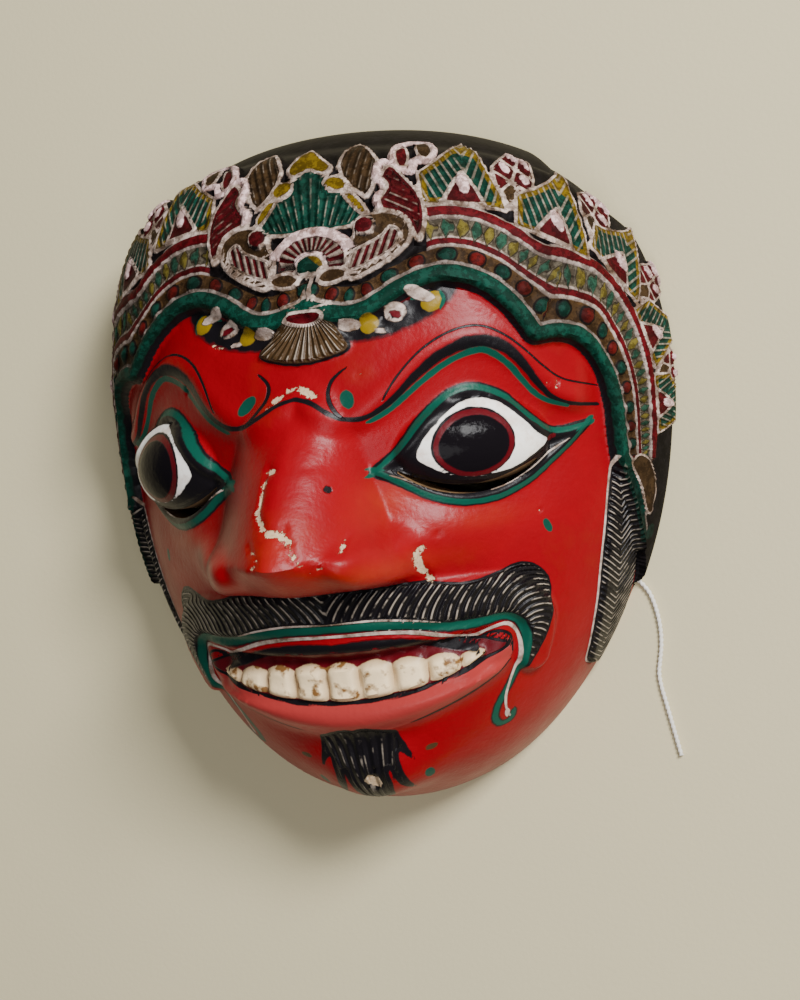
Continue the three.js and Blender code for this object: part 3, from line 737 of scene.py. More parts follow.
def carved(p, q):
    """Where each place of the blank ends up, and what is painted there."""
    across, up = face_place(p, q)
    paint = draw_face(across, up)
    angle = np.arctan2(q, p)
    rim_distance = arc_length(angle) - np.hypot(p, q)
    fade = smooth(rim_distance, 0, RIM_FADE)
    height = large_form(across, up, paint) + paint["raised"]
    height -= 0.7 * np.clip(paint["chip"] < 0, 0, 1)
    point = blank(p, q) + blank_normal(p, q) * (height * fade)[:, None]
    nose = nose_form(across, up)
    point[:, 2] += nose
    point[:, 1] -= 0.12 * nose
    return point, paint


def hollow(part, angle):
    point = dome(part, angle, WALL)
    x, y = point[:, 0], point[:, 1]
    point[:, 2] += 20 * mound(x, y, 0, -8, 15, 17) + 6 * mound(x, y, 0, 0, 34, 34)
    return point


# ---- materials ----
def linear(hex_colour):
    """sRGB hex to linear RGBA."""
    values = [int(hex_colour[i:i + 2], 16) / 255 for i in (1, 3, 5)]
    lifted = [v / 12.92 if v <= 0.04045 else ((v + 0.055) / 1.055) ** 2.4 for v in values]
    return (*lifted, 1.0)


def add_node(tree, kind, settings=None, inputs=None):
    """Adds a node with its settings; an input is a value or another node's output."""
    node = tree.nodes.new(kind)
    for name, value in (settings or {}).items():
        setattr(node, name, value)
    for key, value in (inputs or {}).items():
        socket = node.inputs[key]
        if isinstance(value, bpy.types.NodeSocket):
            tree.links.new(value, socket)
        else:
            socket.default_value = value
    return node


def new_material(name):
    material = bpy.data.materials.new(name)
    material.use_nodes = True
    tree = material.node_tree
    return material, tree, tree.nodes["Principled BSDF"]


def maths(tree, operation, first, second=0.0, clamp=False):
    settings = {"operation": operation, "use_clamp": clamp}
    return add_node(tree, "ShaderNodeMath", settings, {0: first, 1: second}).outputs[0]


def attribute(tree, name):
    return add_node(tree, "ShaderNodeAttribute", {"attribute_name": name}).outputs["Fac"]


def coverage(tree, distance, soft=0.12):
    """1 inside a painted shape and 0 outside, with an edge as soft as a brush leaves."""
    inputs = {"Value": distance, "From Min": soft, "From Max": -soft, "To Min": 0.0, "To Max": 1.0}
    return add_node(tree, "ShaderNodeMapRange", {"clamp": True}, inputs).outputs[0]


def mix_colour(tree, factor, under, over, blend="MIX"):
    inputs = {"Factor": factor, 6: under, 7: over}
    node = add_node(tree, "ShaderNodeMix", {"data_type": "RGBA", "blend_type": blend}, inputs)
    return node.outputs[2]


def mix_value(tree, factor, under, over):
    inputs = {"Factor": factor, 2: under, 3: over}
    return add_node(tree, "ShaderNodeMix", {"data_type": "FLOAT"}, inputs).outputs[0]


def noise(tree, size_mm, detail=3.0, roughness=0.5, stretch=None):
    """Noise whose blotches are about the given size, on the piece's own place in metres."""
    place = add_node(tree, "ShaderNodeTexCoord").outputs["Object"]
    if stretch:
        place = add_node(tree, "ShaderNodeMapping", {}, {"Vector": place, "Scale": stretch}).outputs[0]
    inputs = {"Vector": place, "Scale": 1 / (size_mm * MM), "Detail": detail, "Roughness": roughness}
    return add_node(tree, "ShaderNodeTexNoise", {}, inputs).outputs["Fac"]


def brush_line(tree, name, wobble):
    """Cover of the brush lines of one paint."""
    across = maths(tree, "ABSOLUTE", attribute(tree, name + "_across"))
    shaken = maths(tree, "ADD", maths(tree, "SUBTRACT", across, 1.0), wobble)
    near = maths(tree, "SUBTRACT", attribute(tree, name + "_near"), 0.3)
    return maths(tree, "MULTIPLY", coverage(tree, shaken, 0.2), coverage(tree, near, 0.1))


def stripe(tree, value, middle, half, soft=0.1):
    off = maths(tree, "ABSOLUTE", maths(tree, "SUBTRACT", value, middle))
    return coverage(tree, maths(tree, "SUBTRACT", off, half), soft)


def repeat(tree, value, spacing, start=0.0):
    """Where a place is within one repeat, from its middle, and whether the repeat is an odd one."""
    count = maths(tree, "DIVIDE", maths(tree, "SUBTRACT", value, start - spacing / 2), spacing)
    whole = maths(tree, "FLOOR", count)
    part = maths(tree, "SUBTRACT", maths(tree, "SUBTRACT", count, whole), 0.5)
    step = maths(tree, "MULTIPLY", part, spacing)
    return step, maths(tree, "GREATER_THAN", maths(tree, "FRACT", maths(tree, "MULTIPLY", whole, 0.5)),
        0.25)


def crown_bands(tree, colour, wobble, speck):
    """Gold band with studs, crimson lines and a chain of little leaves, along the crown's edge."""
    edge = maths(tree, "ADD", attribute(tree, "edge"), wobble)
    band = maths(tree, "ADD", attribute(tree, "band"), wobble)
    along = attribute(tree, "along")
    ends = coverage(tree, attribute(tree, "ends"))
    chain = coverage(tree, attribute(tree, "chain_area"))

    def over(cover, tone, where=ends):
        nonlocal colour
        colour = mix_colour(tree, maths(tree, "MULTIPLY", cover, where), colour, tone)

    worn_gold = mix_colour(tree, maths(tree, "MULTIPLY", speck, 0.9), linear("#8a6334"), linear("#33261a"))
    past_edge = coverage(tree, maths(tree, "SUBTRACT", 2.0, edge))
    over(maths(tree, "MULTIPLY", past_edge, stripe(tree, band, 2.9, 2.9)), worn_gold)
    step, odd = repeat(tree, along, STUD_SPACING, STUD_START)
    rise = maths(tree, "SUBTRACT", band, STUD_HEIGHT)
    squares = maths(tree, "ADD", maths(tree, "MULTIPLY", step, step), maths(tree, "MULTIPLY", rise, rise))
    radius = maths(tree, "SQRT", squares)
    over(stripe(tree, radius, 1.6, 0.3), linear("#1a1210"))
    stud = mix_colour(tree, odd, linear("#5e1210"), linear("#0d3f33"))
    over(coverage(tree, maths(tree, "SUBTRACT", radius, 1.45)), stud)
    white = linear(SHELL_WHITE)
    over(stripe(tree, band, 6.0, 0.32), white, chain)
    over(stripe(tree, band, 6.95, 0.62), linear(CRIMSON), chain)
    over(stripe(tree, band, 7.95, 0.3), white, chain)
    over(stripe(tree, band, 10.35, 2.1), mix_colour(tree, speck, linear("#b4a78e"), linear("#4b4030")),
        chain)
    step, odd = repeat(tree, along, LEAF_SPACING, LEAF_SPACING / 2)
    tall = maths(tree, "MULTIPLY", maths(tree, "ABSOLUTE", maths(tree, "SUBTRACT", band, 10.3)), 0.42)
    wide = maths(tree, "MULTIPLY", maths(tree, "ABSOLUTE", step), 1.3)
    leaf = maths(tree, "SUBTRACT", maths(tree, "ADD", tall, wide), 1.05)
    # Painted shadow: a thin dark line round each little leaf of the chain.
    over(stripe(tree, leaf, 0.12, 0.14), linear("#3a2f22"), chain)
    over(coverage(tree, leaf), mix_colour(tree, odd, linear("#74682a"), linear("#2a5240")), chain)
    over(stripe(tree, band, 12.85, 0.34), white, chain)
    over(stripe(tree, band, 14.3, 1.05), linear("#650914"), chain)
    over(stripe(tree, band, 15.75, 0.36), white, chain)
    return colour


def crown_edge(tree, colour, wobble):
    """The raised green edge of the crown between a black and a white line."""
    edge = maths(tree, "ADD", attribute(tree, "edge"), wobble)
    ends = coverage(tree, maths(tree, "SUBTRACT", attribute(tree, "ends"), 26))
    for middle, half, tone in ((-2.2, 0.5, LAMP_BLACK), (0.0, 1.75, VERDIGRIS), (2.15, 0.38, SHELL_WHITE)):
        cover = maths(tree, "MULTIPLY", stripe(tree, edge, middle, half), ends)
        colour = mix_colour(tree, cover, colour, linear(tone))
    return colour


def painted_wood(settings):
    """Softwood under gesso and glossy oil paint, brushed on by hand and worn: crisp coloured
    shapes with slightly shaky edges, gloss on the face, and a duller, grimy crown whose
    recesses are darkened with painted shade."""
    material, tree, shader = new_material("brushed_enamel_on_softwood")
    shaky = maths(tree, "MULTIPLY", maths(tree, "SUBTRACT", noise(tree, 2.6, 2.0), 0.5), 0.55)
    mottle = noise(tree, 18, 4.0, 0.6)
    speck = noise(tree, 1.2, 3.0, 0.6)
    grime = noise(tree, 5, 4.0, 0.65)

    def layer(name, soft=0.12):
        return coverage(tree, maths(tree, "ADD", attribute(tree, name), shaky), soft)

    on_crown = coverage(tree, maths(tree, "SUBTRACT", -1.9, attribute(tree, "edge")), 0.3)
    deep = maths(tree, "MULTIPLY", maths(tree, "SUBTRACT", mottle, 0.35, True), 0.9)
    colour = mix_colour(tree, deep, linear(settings.face_colour), linear("#64000a"))
    rub = coverage(tree, maths(tree, "SUBTRACT", 0.64, mottle), 0.08)
    colour = mix_colour(tree, maths(tree, "MULTIPLY", rub, 0.12), colour, linear(ORANGE_WEAR))
    thin = maths(tree, "MULTIPLY", attribute(tree, "worn"), maths(tree, "MULTIPLY", grime, 0.6))
    colour = mix_colour(tree, thin, colour, linear(ORANGE_WEAR))
    colour = mix_colour(tree, layer("rose"), colour, linear(ROSE))
    colour = mix_colour(tree, layer("black"), colour, linear(LAMP_BLACK))
    colour = mix_colour(tree, brush_line(tree, "black", shaky), colour, linear(LAMP_BLACK))
    colour = crown_bands(tree, colour, shaky, speck)
    colour = crown_edge(tree, colour, shaky)
    for name, tone in (("gold", OLD_GOLD), ("maroon", CRIMSON), ("green", VERDIGRIS), ("ochre", OCHRE)):
        varied = mix_colour(tree, maths(tree, "MULTIPLY", grime, 0.45), linear(tone), linear(LAMP_BLACK))
        colour = mix_colour(tree, layer(name), colour, varied)
    rib_wave = maths(tree, "SINE", maths(tree, "MULTIPLY", attribute(tree, "rib"), 2 * math.pi))
    rib_on = coverage(tree, attribute(tree, "rib_area"), 0.25)
    keeps = attribute(tree, "rib_white")
    level = maths(tree, "SUBTRACT", 0.95, maths(tree, "MULTIPLY", keeps, 0.95))
    rib_line = maths(tree, "MULTIPLY", coverage(tree, maths(tree, "SUBTRACT", level, rib_wave), 0.2),
        rib_on)
    kept_level = maths(tree, "ADD", 0.44, maths(tree, "MULTIPLY", keeps, 0.38))
    kept = coverage(tree, maths(tree, "SUBTRACT", noise(tree, 4, 3.0), kept_level), 0.06)
    rib_paint = maths(tree, "MULTIPLY", rib_line, kept)
    colour = mix_colour(tree, maths(tree, "MULTIPLY", rib_paint, 0.7), colour, linear("#b0a292"))
    # Painted shade, with some grime: the low parts of the crown's carving, between its raised shapes, are
    # darkened towards black.
    low = coverage(tree, maths(tree, "SUBTRACT", attribute(tree, "raised"), 0.5), 0.45)
    recess = maths(tree, "MULTIPLY", low, on_crown)
    colour = mix_colour(tree, maths(tree, "MULTIPLY", recess, 0.6), colour, linear(LAMP_BLACK))
    soot = maths(tree, "MULTIPLY", coverage(tree, maths(tree, "SUBTRACT", 0.48, mottle), 0.25), on_crown)
    colour = mix_colour(tree, maths(tree, "MULTIPLY", soot, 0.62), colour, linear("#140e0a"))
    dirty = coverage(tree, maths(tree, "SUBTRACT", 0.52, grime), 0.12)
    worn_white = mix_colour(tree, dirty, linear(SHELL_WHITE), linear("#6c5848"))
    white = maths(tree, "MAXIMUM", layer("white"), brush_line(tree, "white", shaky))
    colour = mix_colour(tree, brush_line(tree, "green", shaky), colour, linear(VERDIGRIS))
    colour = mix_colour(tree, white, colour, worn_white)
    handled = coverage(tree, maths(tree, "SUBTRACT", 0.60, grime), 0.08)
    worn_pink = mix_colour(tree, handled, linear(PINK_WHITE), linear("#94756c"))
    colour = mix_colour(tree, layer("pink"), colour, worn_pink)
    scuffed = coverage(tree, maths(tree, "SUBTRACT", 0.49, noise(tree, 2.6, 5.0, 0.75)), 0.04)
    scuffed = maths(tree, "MULTIPLY", maths(tree, "MULTIPLY", scuffed, on_crown), 0.62)
    colour = mix_colour(tree, scuffed, colour, linear("#6e5e50"), "MULTIPLY")
    yellowed = maths(tree, "MULTIPLY", coverage(tree, maths(tree, "SUBTRACT", 0.56, grime), 0.10), 0.5)
    eye_white = mix_colour(tree, yellowed, linear(EYE_MILK), linear("#c9ab98"))
    colour = mix_colour(tree, layer("milk"), colour, eye_white)
    # Teeth: brown stain spots, and painted shade darkening each tooth towards its edges, between the teeth.
    tooth_edge = coverage(tree, maths(tree, "SUBTRACT", -0.9, attribute(tree, "bone")), 0.7)
    spots = coverage(tree, maths(tree, "SUBTRACT", 0.58, noise(tree, 3.5, 3.0)), 0.07)
    stain_and_edge_shade = maths(tree, "MAXIMUM", maths(tree, "MULTIPLY", tooth_edge, 0.55), spots)
    colour = mix_colour(tree, layer("bone"), colour, mix_colour(tree, stain_and_edge_shade, linear(BONE),
        linear("#76522c")))
    ink = maths(tree, "MAXIMUM", layer("ink"), brush_line(tree, "ink", shaky))
    colour = mix_colour(tree, ink, colour, linear(LAMP_BLACK))
    ragged = maths(tree, "MULTIPLY", maths(tree, "SUBTRACT", noise(tree, 3.0, 4.0, 0.7), 0.5), 3.4)
    chip = coverage(tree, maths(tree, "ADD", maths(tree, "ADD", attribute(tree, "chip"), 0.25), ragged),
        0.08)
    colour = mix_colour(tree, chip, colour, mix_colour(tree, speck, linear(GESSO), linear("#a87b4a")))
    tree.links.new(colour, shader.inputs["Base Color"])
    rough = mix_value(tree, mottle, settings.gloss_low, settings.gloss_high)
    rough = mix_value(tree, on_crown, rough, 0.6)
    rough = mix_value(tree, chip, rough, 0.85)
    rough = mix_value(tree, coverage(tree, attribute(tree, "pupil"), 0.2), rough, 0.12)
    tree.links.new(rough, shader.inputs["Roughness"])
    height = maths(tree, "MULTIPLY", rib_wave, maths(tree, "MULTIPLY", rib_on, 0.3))
    for covered, lift in ((white, 0.3), (ink, -0.2), (chip, -0.35), (layer("pink", 0.4), 0.3)):
        height = maths(tree, "ADD", height, maths(tree, "MULTIPLY", covered, lift))
    height = maths(tree, "ADD", height, maths(tree, "MULTIPLY", speck, 0.08))
    height = maths(tree, "ADD", height, maths(tree, "MULTIPLY", mottle, 0.6))
    bump = add_node(tree, "ShaderNodeBump", {}, {"Height": height, "Distance": MM, "Strength": 0.9})
    tree.links.new(bump.outputs[0], shader.inputs["Normal"])
    shine = mix_value(tree, on_crown, 0.2, 0.08)
    shine = mix_value(tree, coverage(tree, attribute(tree, "pupil"), 0.2), shine, 0.05)
    tree.links.new(shine, shader.inputs["Specular IOR Level"])
    shader.inputs["IOR"].default_value = 1.42
    return material


def bare_wood():
    """The hollow and the rim: light softwood cut with a gouge, darkened by hands and sweat."""
    material, tree, shader = new_material("gouged_softwood")
    grain = noise(tree, 3.0, 4.0, 0.6, (1.0, 0.12, 1.0))
    gouge = noise(tree, 9.0, 1.0, 0.4)
    colour = mix_colour(tree, grain, linear(BARE_WOOD), linear("#4d3823"))
    tree.links.new(colour, shader.inputs["Base Color"])
    height = maths(tree, "ADD", maths(tree, "MULTIPLY", grain, 0.3), maths(tree, "MULTIPLY", gouge, 1.6))
    bump = add_node(tree, "ShaderNodeBump", {}, {"Height": height, "Distance": MM, "Strength": 0.9})
    tree.links.new(bump.outputs[0], shader.inputs["Normal"])
    shader.inputs["Roughness"].default_value = 0.8
    return material


def cotton_string():
    """Soft two-ply cotton twine: matt, slightly hairy, off-white with a little handling dirt."""
    material, tree, shader = new_material("two_ply_cotton")
    dirt = noise(tree, 6.0, 3.0)
    colour = mix_colour(tree, maths(tree, "MULTIPLY", dirt, 0.5), linear(COTTON), linear("#b9b09c"))
    tree.links.new(colour, shader.inputs["Base Color"])
    fuzz = noise(tree, 0.3, 2.0)
    bump = add_node(tree, "ShaderNodeBump", {}, {"Height": fuzz, "Distance": 0.15 * MM, "Strength": 0.6})
    tree.links.new(bump.outputs[0], shader.inputs["Normal"])
    shader.inputs["Roughness"].default_value = 0.9
    shader.inputs["Sheen Weight"].default_value = 0.3
    return material


def floor_paint():
    """A plain matt emulsion surface with the faint texture a roller leaves."""
    material, tree, shader = new_material("matt_emulsion")
    patch = noise(tree, 90, 3.0)
    colour = mix_colour(tree, maths(tree, "MULTIPLY", patch, 0.25), linear(FLOOR_TONE), linear("#b3ae98"))
    tree.links.new(colour, shader.inputs["Base Color"])
    stipple = noise(tree, 1.5, 3.0)
    bump = add_node(tree, "ShaderNodeBump", {}, {"Height": stipple, "Distance": 0.2 * MM, "Strength": 0.3})
    tree.links.new(bump.outputs[0], shader.inputs["Normal"])
    shader.inputs["Roughness"].default_value = 0.85
    return material


# ---- modelling helpers ----
def deselect():
    bpy.ops.object.select_all(action="DESELECT")


def only(piece):
    deselect()
    piece.select_set(True)
    bpy.context.view_layer.objects.active = piece


def grid_sheet(name, cells):
    """A flat square grid from -1 to 1, to be shaped into a sheet."""
    deselect()
    bpy.ops.mesh.primitive_grid_add(x_subdivisions=cells, y_subdivisions=cells, size=2)
    sheet = bpy.context.active_object
    sheet.name = name
    return sheet


def read_points(mesh):
    values = np.empty(len(mesh.vertices) * 3)
    mesh.vertices.foreach_get("co", values)
    return values.reshape(-1, 3)


def write_points(mesh, points):
    mesh.vertices.foreach_set("co", points.ravel())
    mesh.update()


def disc_places(square):
    """The grid's square laid over a disc, as part of the way to the rim and angle."""
    a, b = square[:, 0], square[:, 1]
    u = a * np.sqrt(1 - b * b / 2)
    v = b * np.sqrt(1 - a * a / 2)
    return np.minimum(np.hypot(u, v), 1), np.arctan2(v, u)


def cutter_notch():
    """The shallow channel in the rim that lets the string out."""
    deselect()
    place = Vector(beside_hole(TIE_HOLE_EXIT + 9.2, 0)) * MM
    bpy.ops.mesh.primitive_cube_add(size=1, location=place, rotation=(0, 0, TIE_HOLE_ANGLE))
    cutter = bpy.context.active_object
    cutter.scale = (24 * MM, NOTCH_WIDTH * MM, 2 * NOTCH_HEIGHT * MM)
    bpy.ops.object.transform_apply(location=True, rotation=True, scale=True)
    return cutter


def cutter_drill(side):
    """The tie hole, leaning inwards as it rises from the rim."""
    deselect()
    turn = TIE_HOLE_ANGLE if side > 0 else math.pi - TIE_HOLE_ANGLE
    place = (TIE_HOLE_EXIT * MM * math.cos(turn), TIE_HOLE_EXIT * MM * math.sin(turn), 0)
    bpy.ops.mesh.primitive_cylinder_add(
        vertices=24, radius=TIE_HOLE_DIAMETER / 2 * MM, depth=26 * MM, location=place,
        rotation=(0, -TIE_HOLE_LEAN, turn))
    cutter = bpy.context.active_object
    bpy.ops.object.transform_apply(location=True, rotation=True, scale=True)
    return cutter


def blank_place(across, up):
    """The place on the blank that face_place sends to a place in the layout."""
    p, q = across, up
    for _ in range(12):
        a, u = face_place(p, q)
        p, q = p + across - a, q + up - u
    return p, q


def slit_outline(side):
    """The crescent under the ball of the eye, as seen straight on."""
    x = np.linspace(-1, 1, 17)
    half = 1.2 * np.sqrt(np.maximum(1 - x * x, 0.04))
    p = np.concatenate([40 + 18 * x, (40 + 18 * x)[::-1]])
    middle = -9.5 + 6 * x * x
    q = np.concatenate([middle - half, (middle + half)[::-1]])
    return blank(*blank_place(side * p, q))


def cutter_slit(side):
    """A crescent-shaped punch, filled and drawn up through the wall."""
    plan = slit_outline(side)
    deselect()
    bpy.ops.mesh.primitive_circle_add(vertices=len(plan), radius=MM, fill_type="NGON")
    cutter = bpy.context.active_object
    flat = np.stack([plan[:, 0], plan[:, 1], np.full(len(plan), 20.0)], -1) * MM
    write_points(cutter.data, flat if side > 0 else flat[::-1])
    bpy.ops.object.mode_set(mode="EDIT")
    bpy.ops.mesh.select_all(action="SELECT")
    bpy.ops.mesh.extrude_region_move(TRANSFORM_OT_translate={"value": (0, 0, 90 * MM)})
    bpy.ops.mesh.select_all(action="SELECT")
    bpy.ops.mesh.normals_make_consistent(inside=False)
    bpy.ops.object.mode_set(mode="OBJECT")
    return cutter


def cut_away(piece, cutters):
    """Takes the cutters out of the piece, and then removes them."""
    for cutter in cutters:
        only(piece)
        cut = piece.modifiers.new("cut", "BOOLEAN")
        cut.operation = "DIFFERENCE"
        cut.solver = "EXACT"
        cut.object = cutter
        bpy.ops.object.modifier_apply(modifier=cut.name)
        bpy.data.objects.remove(cutter, do_unlink=True)


def string_tube(name, route, diameter, turns_per_mm=0.35, sides=14, spacing=0.35):
    """Two-ply string: a tube whose waisted section turns as it goes along the route."""
    curve = np.array(smooth_route(route, spacing)) + (0, CENTRE_UP, 0)
    tangent = np.gradient(curve, axis=0)
    tangent /= np.linalg.norm(tangent, axis=1, keepdims=True)
    side = np.cross(tangent[0], (0.0, 0.3, 1.0))
    run = np.concatenate([[0], np.cumsum(np.linalg.norm(np.diff(curve, axis=0), axis=1))])
    rings = []
    for i, here in enumerate(curve):
        side = side - tangent[i] * (side @ tangent[i])
        side /= np.linalg.norm(side)
        up = np.cross(tangent[i], side)
        for k in range(sides):
            angle = 2 * math.pi * k / sides
            ply = angle - 2 * math.pi * turns_per_mm * run[i]
            radius = diameter / 2 * (0.80 + 0.20 * math.cos(2 * ply))
            rings.append(here + radius * (math.cos(angle) * side + math.sin(angle) * up))
    count = len(curve)
    faces = []
    for i in range(count - 1):
        here, there = i * sides, (i + 1) * sides
        for k in range(sides):
            following = (k + 1) % sides
            faces.append((here + k, here + following, there + following, there + k))
    faces.append(tuple(range(sides))[::-1])
    faces.append(tuple((count - 1) * sides + k for k in range(sides)))
    mesh = bpy.data.meshes.new(name)
    mesh.from_pydata([tuple(v * MM) for v in rings], [], faces)
    piece = bpy.data.objects.new(name, mesh)
    bpy.context.collection.objects.link(piece)
    only(piece)
    bpy.ops.object.mode_set(mode="EDIT")
    bpy.ops.mesh.select_all(action="SELECT")
    bpy.ops.mesh.normals_make_consistent(inside=False)
    bpy.ops.object.mode_set(mode="OBJECT")
    bpy.ops.object.shade_smooth()
    return piece, [tuple(v * MM) for v in curve]


def smooth_route(route, spacing):
    """Evenly spaced places on the smooth curve through a route."""
    points = np.asarray(route, float)
    dense = []
    for i in range(len(points) - 1):
        before, here = points[max(i - 1, 0)], points[i]
        after, beyond = points[i + 1], points[min(i + 2, len(points) - 1)]
        for w in np.linspace(0, 1, 24, endpoint=False):
            out, into = (after - before) / 2, (beyond - here) / 2
            dense.append((2 * here - 2 * after + out + into) * w ** 3
                         + (3 * after - 3 * here - 2 * out - into) * w ** 2 + out * w + here)
    dense = np.array(dense + [points[-1]])
    run = np.concatenate([[0], np.cumsum(np.linalg.norm(np.diff(dense, axis=0), axis=1))])
    places = np.linspace(0, run[-1], max(int(run[-1] / spacing), 8))
    return [np.array([np.interp(s, run, dense[:, a]) for a in range(3)]) for s in places]


# ---- the string, in millimetres: its hole in the rim, and its routes out of it ----
TIE_HOLE_DIAMETER = 2.6
TIE_HOLE_EXIT = 78.8
TIE_HOLE_LEAN = math.atan(0.75)
TIE_HOLE_ANGLE = math.radians(-27.5)
NOTCH_WIDTH = 3.4
NOTCH_HEIGHT = 2.6
KNOT_PLACE = (70.95, 10.4)
NECK_ROUTE = [
    (72.05, 9), (73.55, 7), (75.2, 4.8), (76.7, 2.8), (77.4, 1.9), (78.2, 1.2), (79, 1), (79.6, 1)]
TAIL_ROUTE = [
    (70.9, -36.9, 1), (73.5, -38.5, 1), (76, -41.5, 0.9), (77.5, -45, 0.9), (78.5, -49, 0.9),
    (79, -53, 0.9), (79, -57, 0.9), (78.5, -61, 0.9), (78, -65, 0.9), (78.5, -69, 0.9),
    (79.5, -73, 0.9), (80.5, -77, 0.9), (81.5, -81, 0.9), (82.5, -85, 0.9), (83.5, -89, 0.9)]


def beside_hole(out, up):
    """A place beside the right-hand tie hole: out from the middle, and up."""
    return (out * math.cos(TIE_HOLE_ANGLE), out * math.sin(TIE_HOLE_ANGLE), up)


# ---- the stage, in metres and radians: a camera looking down on the face, and two soft lamps ----
CAMERA_TURN = 0.371
CAMERA_TIP = 0.0133
CAMERA_ROLL = -0.0468
CAMERA_DISTANCE = 0.64927
CAMERA_AIM_HEIGHT = 0.03
CAMERA_LENS = 80.8
CAMERA_SHIFT = (0.0389, -0.0386)
KEY_PLACE = (0.80, 0.62, 0.95)
KEY_SIZE = 0.40
FILL_PLACE = (0.45, -0.35, 1.25)
FILL_SIZE = 0.6


# ---- settings that a user would change ----
class MaskSettings(bpy.types.PropertyGroup):
    face_cells: bpy.props.IntProperty(
        name="Face cells", description="Cells along one side of the carved face",
        default=300, min=40, max=304)
    face_colour: bpy.props.StringProperty(
        name="Face colour", description="Lacquer of the face, as sRGB hex", default=RED_LACQUER)
    gloss_low: bpy.props.FloatProperty(
        name="Glossiest", description="Roughness where the paint is least worn", default=0.22, min=0, max=1)
    gloss_high: bpy.props.FloatProperty(
        name="Dullest", description="Roughness where the paint is most worn", default=0.48, min=0, max=1)


class StringSettings(bpy.types.PropertyGroup):
    diameter: bpy.props.FloatProperty(
        name="Diameter", description="Thickness of the tie string",
        default=STRING_DIAMETER * MM, unit="LENGTH")


class StageSettings(bpy.types.PropertyGroup):
    floor_size: bpy.props.FloatProperty(
        name="Floor size", description="Side of the square floor", default=4.0, unit="LENGTH")
    key_power: bpy.props.FloatProperty(
        name="Key light", description="Power of the main light in watts", default=34.0, min=0)
    fill_power: bpy.props.FloatProperty(
        name="Fill light", description="Power of the soft light in watts", default=7.0, min=0)


# ---- operators ----
class MASK_OT_stage(bpy.types.Operator):
    """Floor, camera and lights"""
    bl_idname = "mask.stage"
    bl_label = "Stage"

    def execute(self, context):
        settings = context.scene.mask_stage
        deselect()
        bpy.ops.mesh.primitive_grid_add(x_subdivisions=8, y_subdivisions=8, size=settings.floor_size)
        floor = bpy.context.active_object
        floor.name = "floor"
        floor.data.materials.append(floor_paint())
        turn, tip, roll, distance = CAMERA_TURN, CAMERA_TIP, CAMERA_ROLL, CAMERA_DISTANCE
        target = Vector((0, CENTRE_UP * MM, CAMERA_AIM_HEIGHT))
        back = Vector((math.sin(turn) * math.cos(tip), math.sin(tip), math.cos(turn) * math.cos(tip)))
        right = Vector((0, 1, 0)).cross(back).normalized()
        up = back.cross(right)
        across = right * math.cos(roll) + up * math.sin(roll)
        over = up * math.cos(roll) - right * math.sin(roll)
        camera = bpy.data.objects.new("camera", bpy.data.cameras.new("camera"))
        bpy.context.collection.objects.link(camera)
        place = Matrix((across, over, back)).transposed().to_4x4()
        place.translation = target + back * distance
        camera.matrix_world = place
        camera.data.lens = CAMERA_LENS
        camera.data.sensor_width = 36
        camera.data.shift_x, camera.data.shift_y = CAMERA_SHIFT
        camera.data.clip_start = 0.01
        context.scene.camera = camera
        for name, spot, power, size in (
                ("key", KEY_PLACE, settings.key_power, KEY_SIZE),
                ("fill", FILL_PLACE, settings.fill_power, FILL_SIZE)):
            lamp = bpy.data.lights.new(name, "AREA")
            lamp.energy = power
            lamp.size = size
            light = bpy.data.objects.new(name, lamp)
            light.location = spot
            light.rotation_euler = (Vector(spot) - Vector((0, 0, CAMERA_AIM_HEIGHT))).to_track_quat("Z",
                "Y").to_euler()
            bpy.context.collection.objects.link(light)
        world = bpy.data.worlds.new("studio")
        context.scene.world = world
        world.use_nodes = True
        world.node_tree.nodes["Background"].inputs["Color"].default_value = (0.9, 0.93, 1.0, 1)
        world.node_tree.nodes["Background"].inputs["Strength"].default_value = 0.15
        return {"FINISHED"}


class MASK_OT_string(bpy.types.Operator):
    """The cotton string: its knot in the hollow, the way out under the rim and the loose end"""
    bl_idname = "mask.string"
    bl_label = "Tie string"

    def execute(self, context):
        diameter = context.scene.mask_string.diameter / MM
        cotton = cotton_string()
        tail, path = string_tube("string_tail", TAIL_ROUTE, diameter)
        neck, _ = string_tube("string_neck", [beside_hole(*place) for place in NECK_ROUTE], diameter)
        middle = beside_hole(*KNOT_PLACE)
        knot_route = []
        for a in np.linspace(0, 2 * math.pi, 40, endpoint=False):
            knot_route.append((middle[0] + 0.28 * (math.sin(a) + 2 * math.sin(2 * a)),
                               middle[1] + 0.28 * (math.cos(a) - 2 * math.cos(2 * a)),
                               middle[2] - 0.7 * math.sin(3 * a)))
        knot, _ = string_tube("string_knot", knot_route, 1.1, spacing=0.3)
        for piece, node in ((tail, "tie_tail"), (neck, "tie_neck"), (knot, "tie_knot")):
            piece.data.materials.append(cotton)
            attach(piece, "root")
            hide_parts(node)
        return {"FINISHED"}


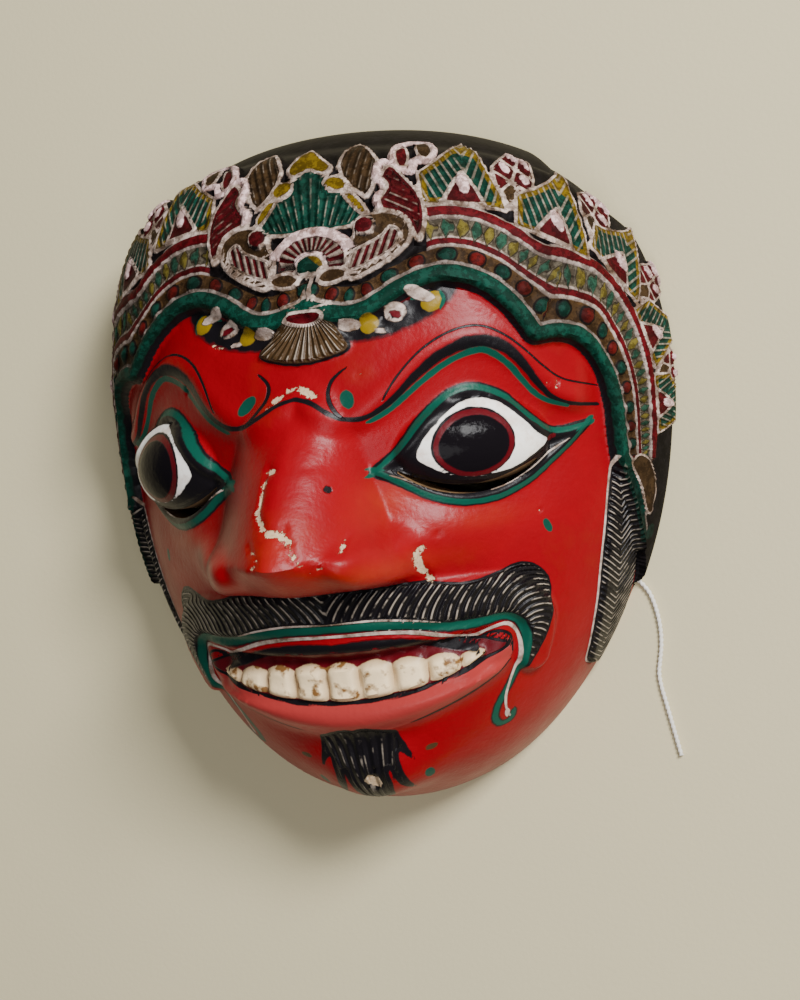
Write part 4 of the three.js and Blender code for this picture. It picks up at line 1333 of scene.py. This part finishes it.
class MASK_OT_carve(bpy.types.Operator):
    """The carved and painted shell"""
    bl_idname = "mask.carve"
    bl_label = "Carved mask"

    def execute(self, context):
        settings = context.scene.mask_settings
        face = grid_sheet("carved_mask", settings.face_cells)
        square = read_points(face.data)
        part, angle = disc_places(square)
        reach = part * arc_length(angle)
        points, paint = carved(reach * np.cos(angle), reach * np.sin(angle))
        rim = np.max(np.abs(square[:, :2]), axis=1) > 1 - 1e-5
        points[rim, 2] = 0
        points[:, 2] = np.maximum(points[:, 2], 0)
        write_points(face.data, points * MM)
        back = grid_sheet("hollow", 72)
        square = read_points(back.data)
        part, angle = disc_places(square)
        inner = hollow(part, angle)
        inner[np.max(np.abs(square[:, :2]), axis=1) > 1 - 1e-5, 2] = 0
        write_points(back.data, inner * MM)
        bpy.ops.object.mode_set(mode="EDIT")
        bpy.ops.mesh.select_all(action="SELECT")
        bpy.ops.mesh.flip_normals()
        bpy.ops.object.mode_set(mode="OBJECT")
        face.data.materials.append(painted_wood(settings))
        face.data.materials.append(bare_wood())
        back.data.materials.append(face.data.materials[0])
        back.data.materials.append(face.data.materials[1])
        back.data.polygons.foreach_set("material_index", [1] * len(back.data.polygons))
        only(face)
        back.select_set(True)
        bpy.ops.object.join()
        painted_faces = len(face.data.polygons)
        bpy.ops.object.mode_set(mode="EDIT")
        bpy.ops.mesh.select_mode(type="EDGE")
        bpy.ops.mesh.select_all(action="DESELECT")
        bpy.ops.mesh.select_non_manifold(extend=False, use_wire=False, use_boundary=True,
                                         use_multi_face=False, use_non_contiguous=False, use_verts=False)
        bpy.ops.mesh.bridge_edge_loops()
        bpy.ops.mesh.select_all(action="SELECT")
        bpy.ops.mesh.normals_make_consistent(inside=False)
        bpy.ops.object.mode_set(mode="OBJECT")
        indices = np.empty(len(face.data.polygons), int)
        face.data.polygons.foreach_get("material_index", indices)
        indices[painted_faces:] = 1
        face.data.polygons.foreach_set("material_index", indices)
        tree = kdtree.KDTree(len(points))
        for i, point in enumerate(points):
            tree.insert(Vector(point * MM), i)
        tree.balance()
        cutters = [cutter_slit(1), cutter_slit(-1), cutter_drill(1), cutter_drill(-1), cutter_notch()]
        for cutter in cutters:
            cutter.data.materials.append(face.data.materials[1])
        cut_away(face, cutters)
        nearest = np.array([tree.find(vertex.co)[1] for vertex in face.data.vertices])
        for name, values in paint.items():
            layer = face.data.attributes.new(name, "FLOAT", "POINT")
            layer.data.foreach_set("value", values[nearest].astype(np.float32))
        face.data.transform(Matrix.Translation((0, CENTRE_UP * MM, 0)))
        only(face)
        bpy.ops.object.shade_smooth_by_angle(angle=math.radians(50))
        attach(face, "root")
        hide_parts("mask")
        return {"FINISHED"}


class MASK_PT_panel(bpy.types.Panel):
    bl_label = "Dance mask"
    bl_idname = "MASK_PT_panel"
    bl_space_type = "VIEW_3D"
    bl_region_type = "UI"
    bl_category = "Mask"

    def draw(self, context):
        for group in ("mask_settings", "mask_string", "mask_stage"):
            settings = getattr(context.scene, group)
            for name in settings.__annotations__:
                self.layout.prop(settings, name)
        for operator in OPERATORS:
            self.layout.operator(operator.bl_idname)


OPERATORS = (MASK_OT_stage, MASK_OT_string, MASK_OT_carve)
GROUPS = {"mask_settings": MaskSettings, "mask_string": StringSettings, "mask_stage": StageSettings}


def register():
    for group in GROUPS.values():
        bpy.utils.register_class(group)
    for operator in OPERATORS:
        bpy.utils.register_class(operator)
    bpy.utils.register_class(MASK_PT_panel)
    for name, group in GROUPS.items():
        setattr(bpy.types.Scene, name, bpy.props.PointerProperty(type=group))


def unregister():
    for name in GROUPS:
        delattr(bpy.types.Scene, name)
    bpy.utils.unregister_class(MASK_PT_panel)
    for operator in reversed(OPERATORS):
        bpy.utils.unregister_class(operator)
    for group in reversed(list(GROUPS.values())):
        bpy.utils.unregister_class(group)


def main():
    register()
    bpy.ops.mask.stage()
    bpy.ops.mask.string()
    bpy.ops.mask.carve()


if __name__ == "__main__":
    main()
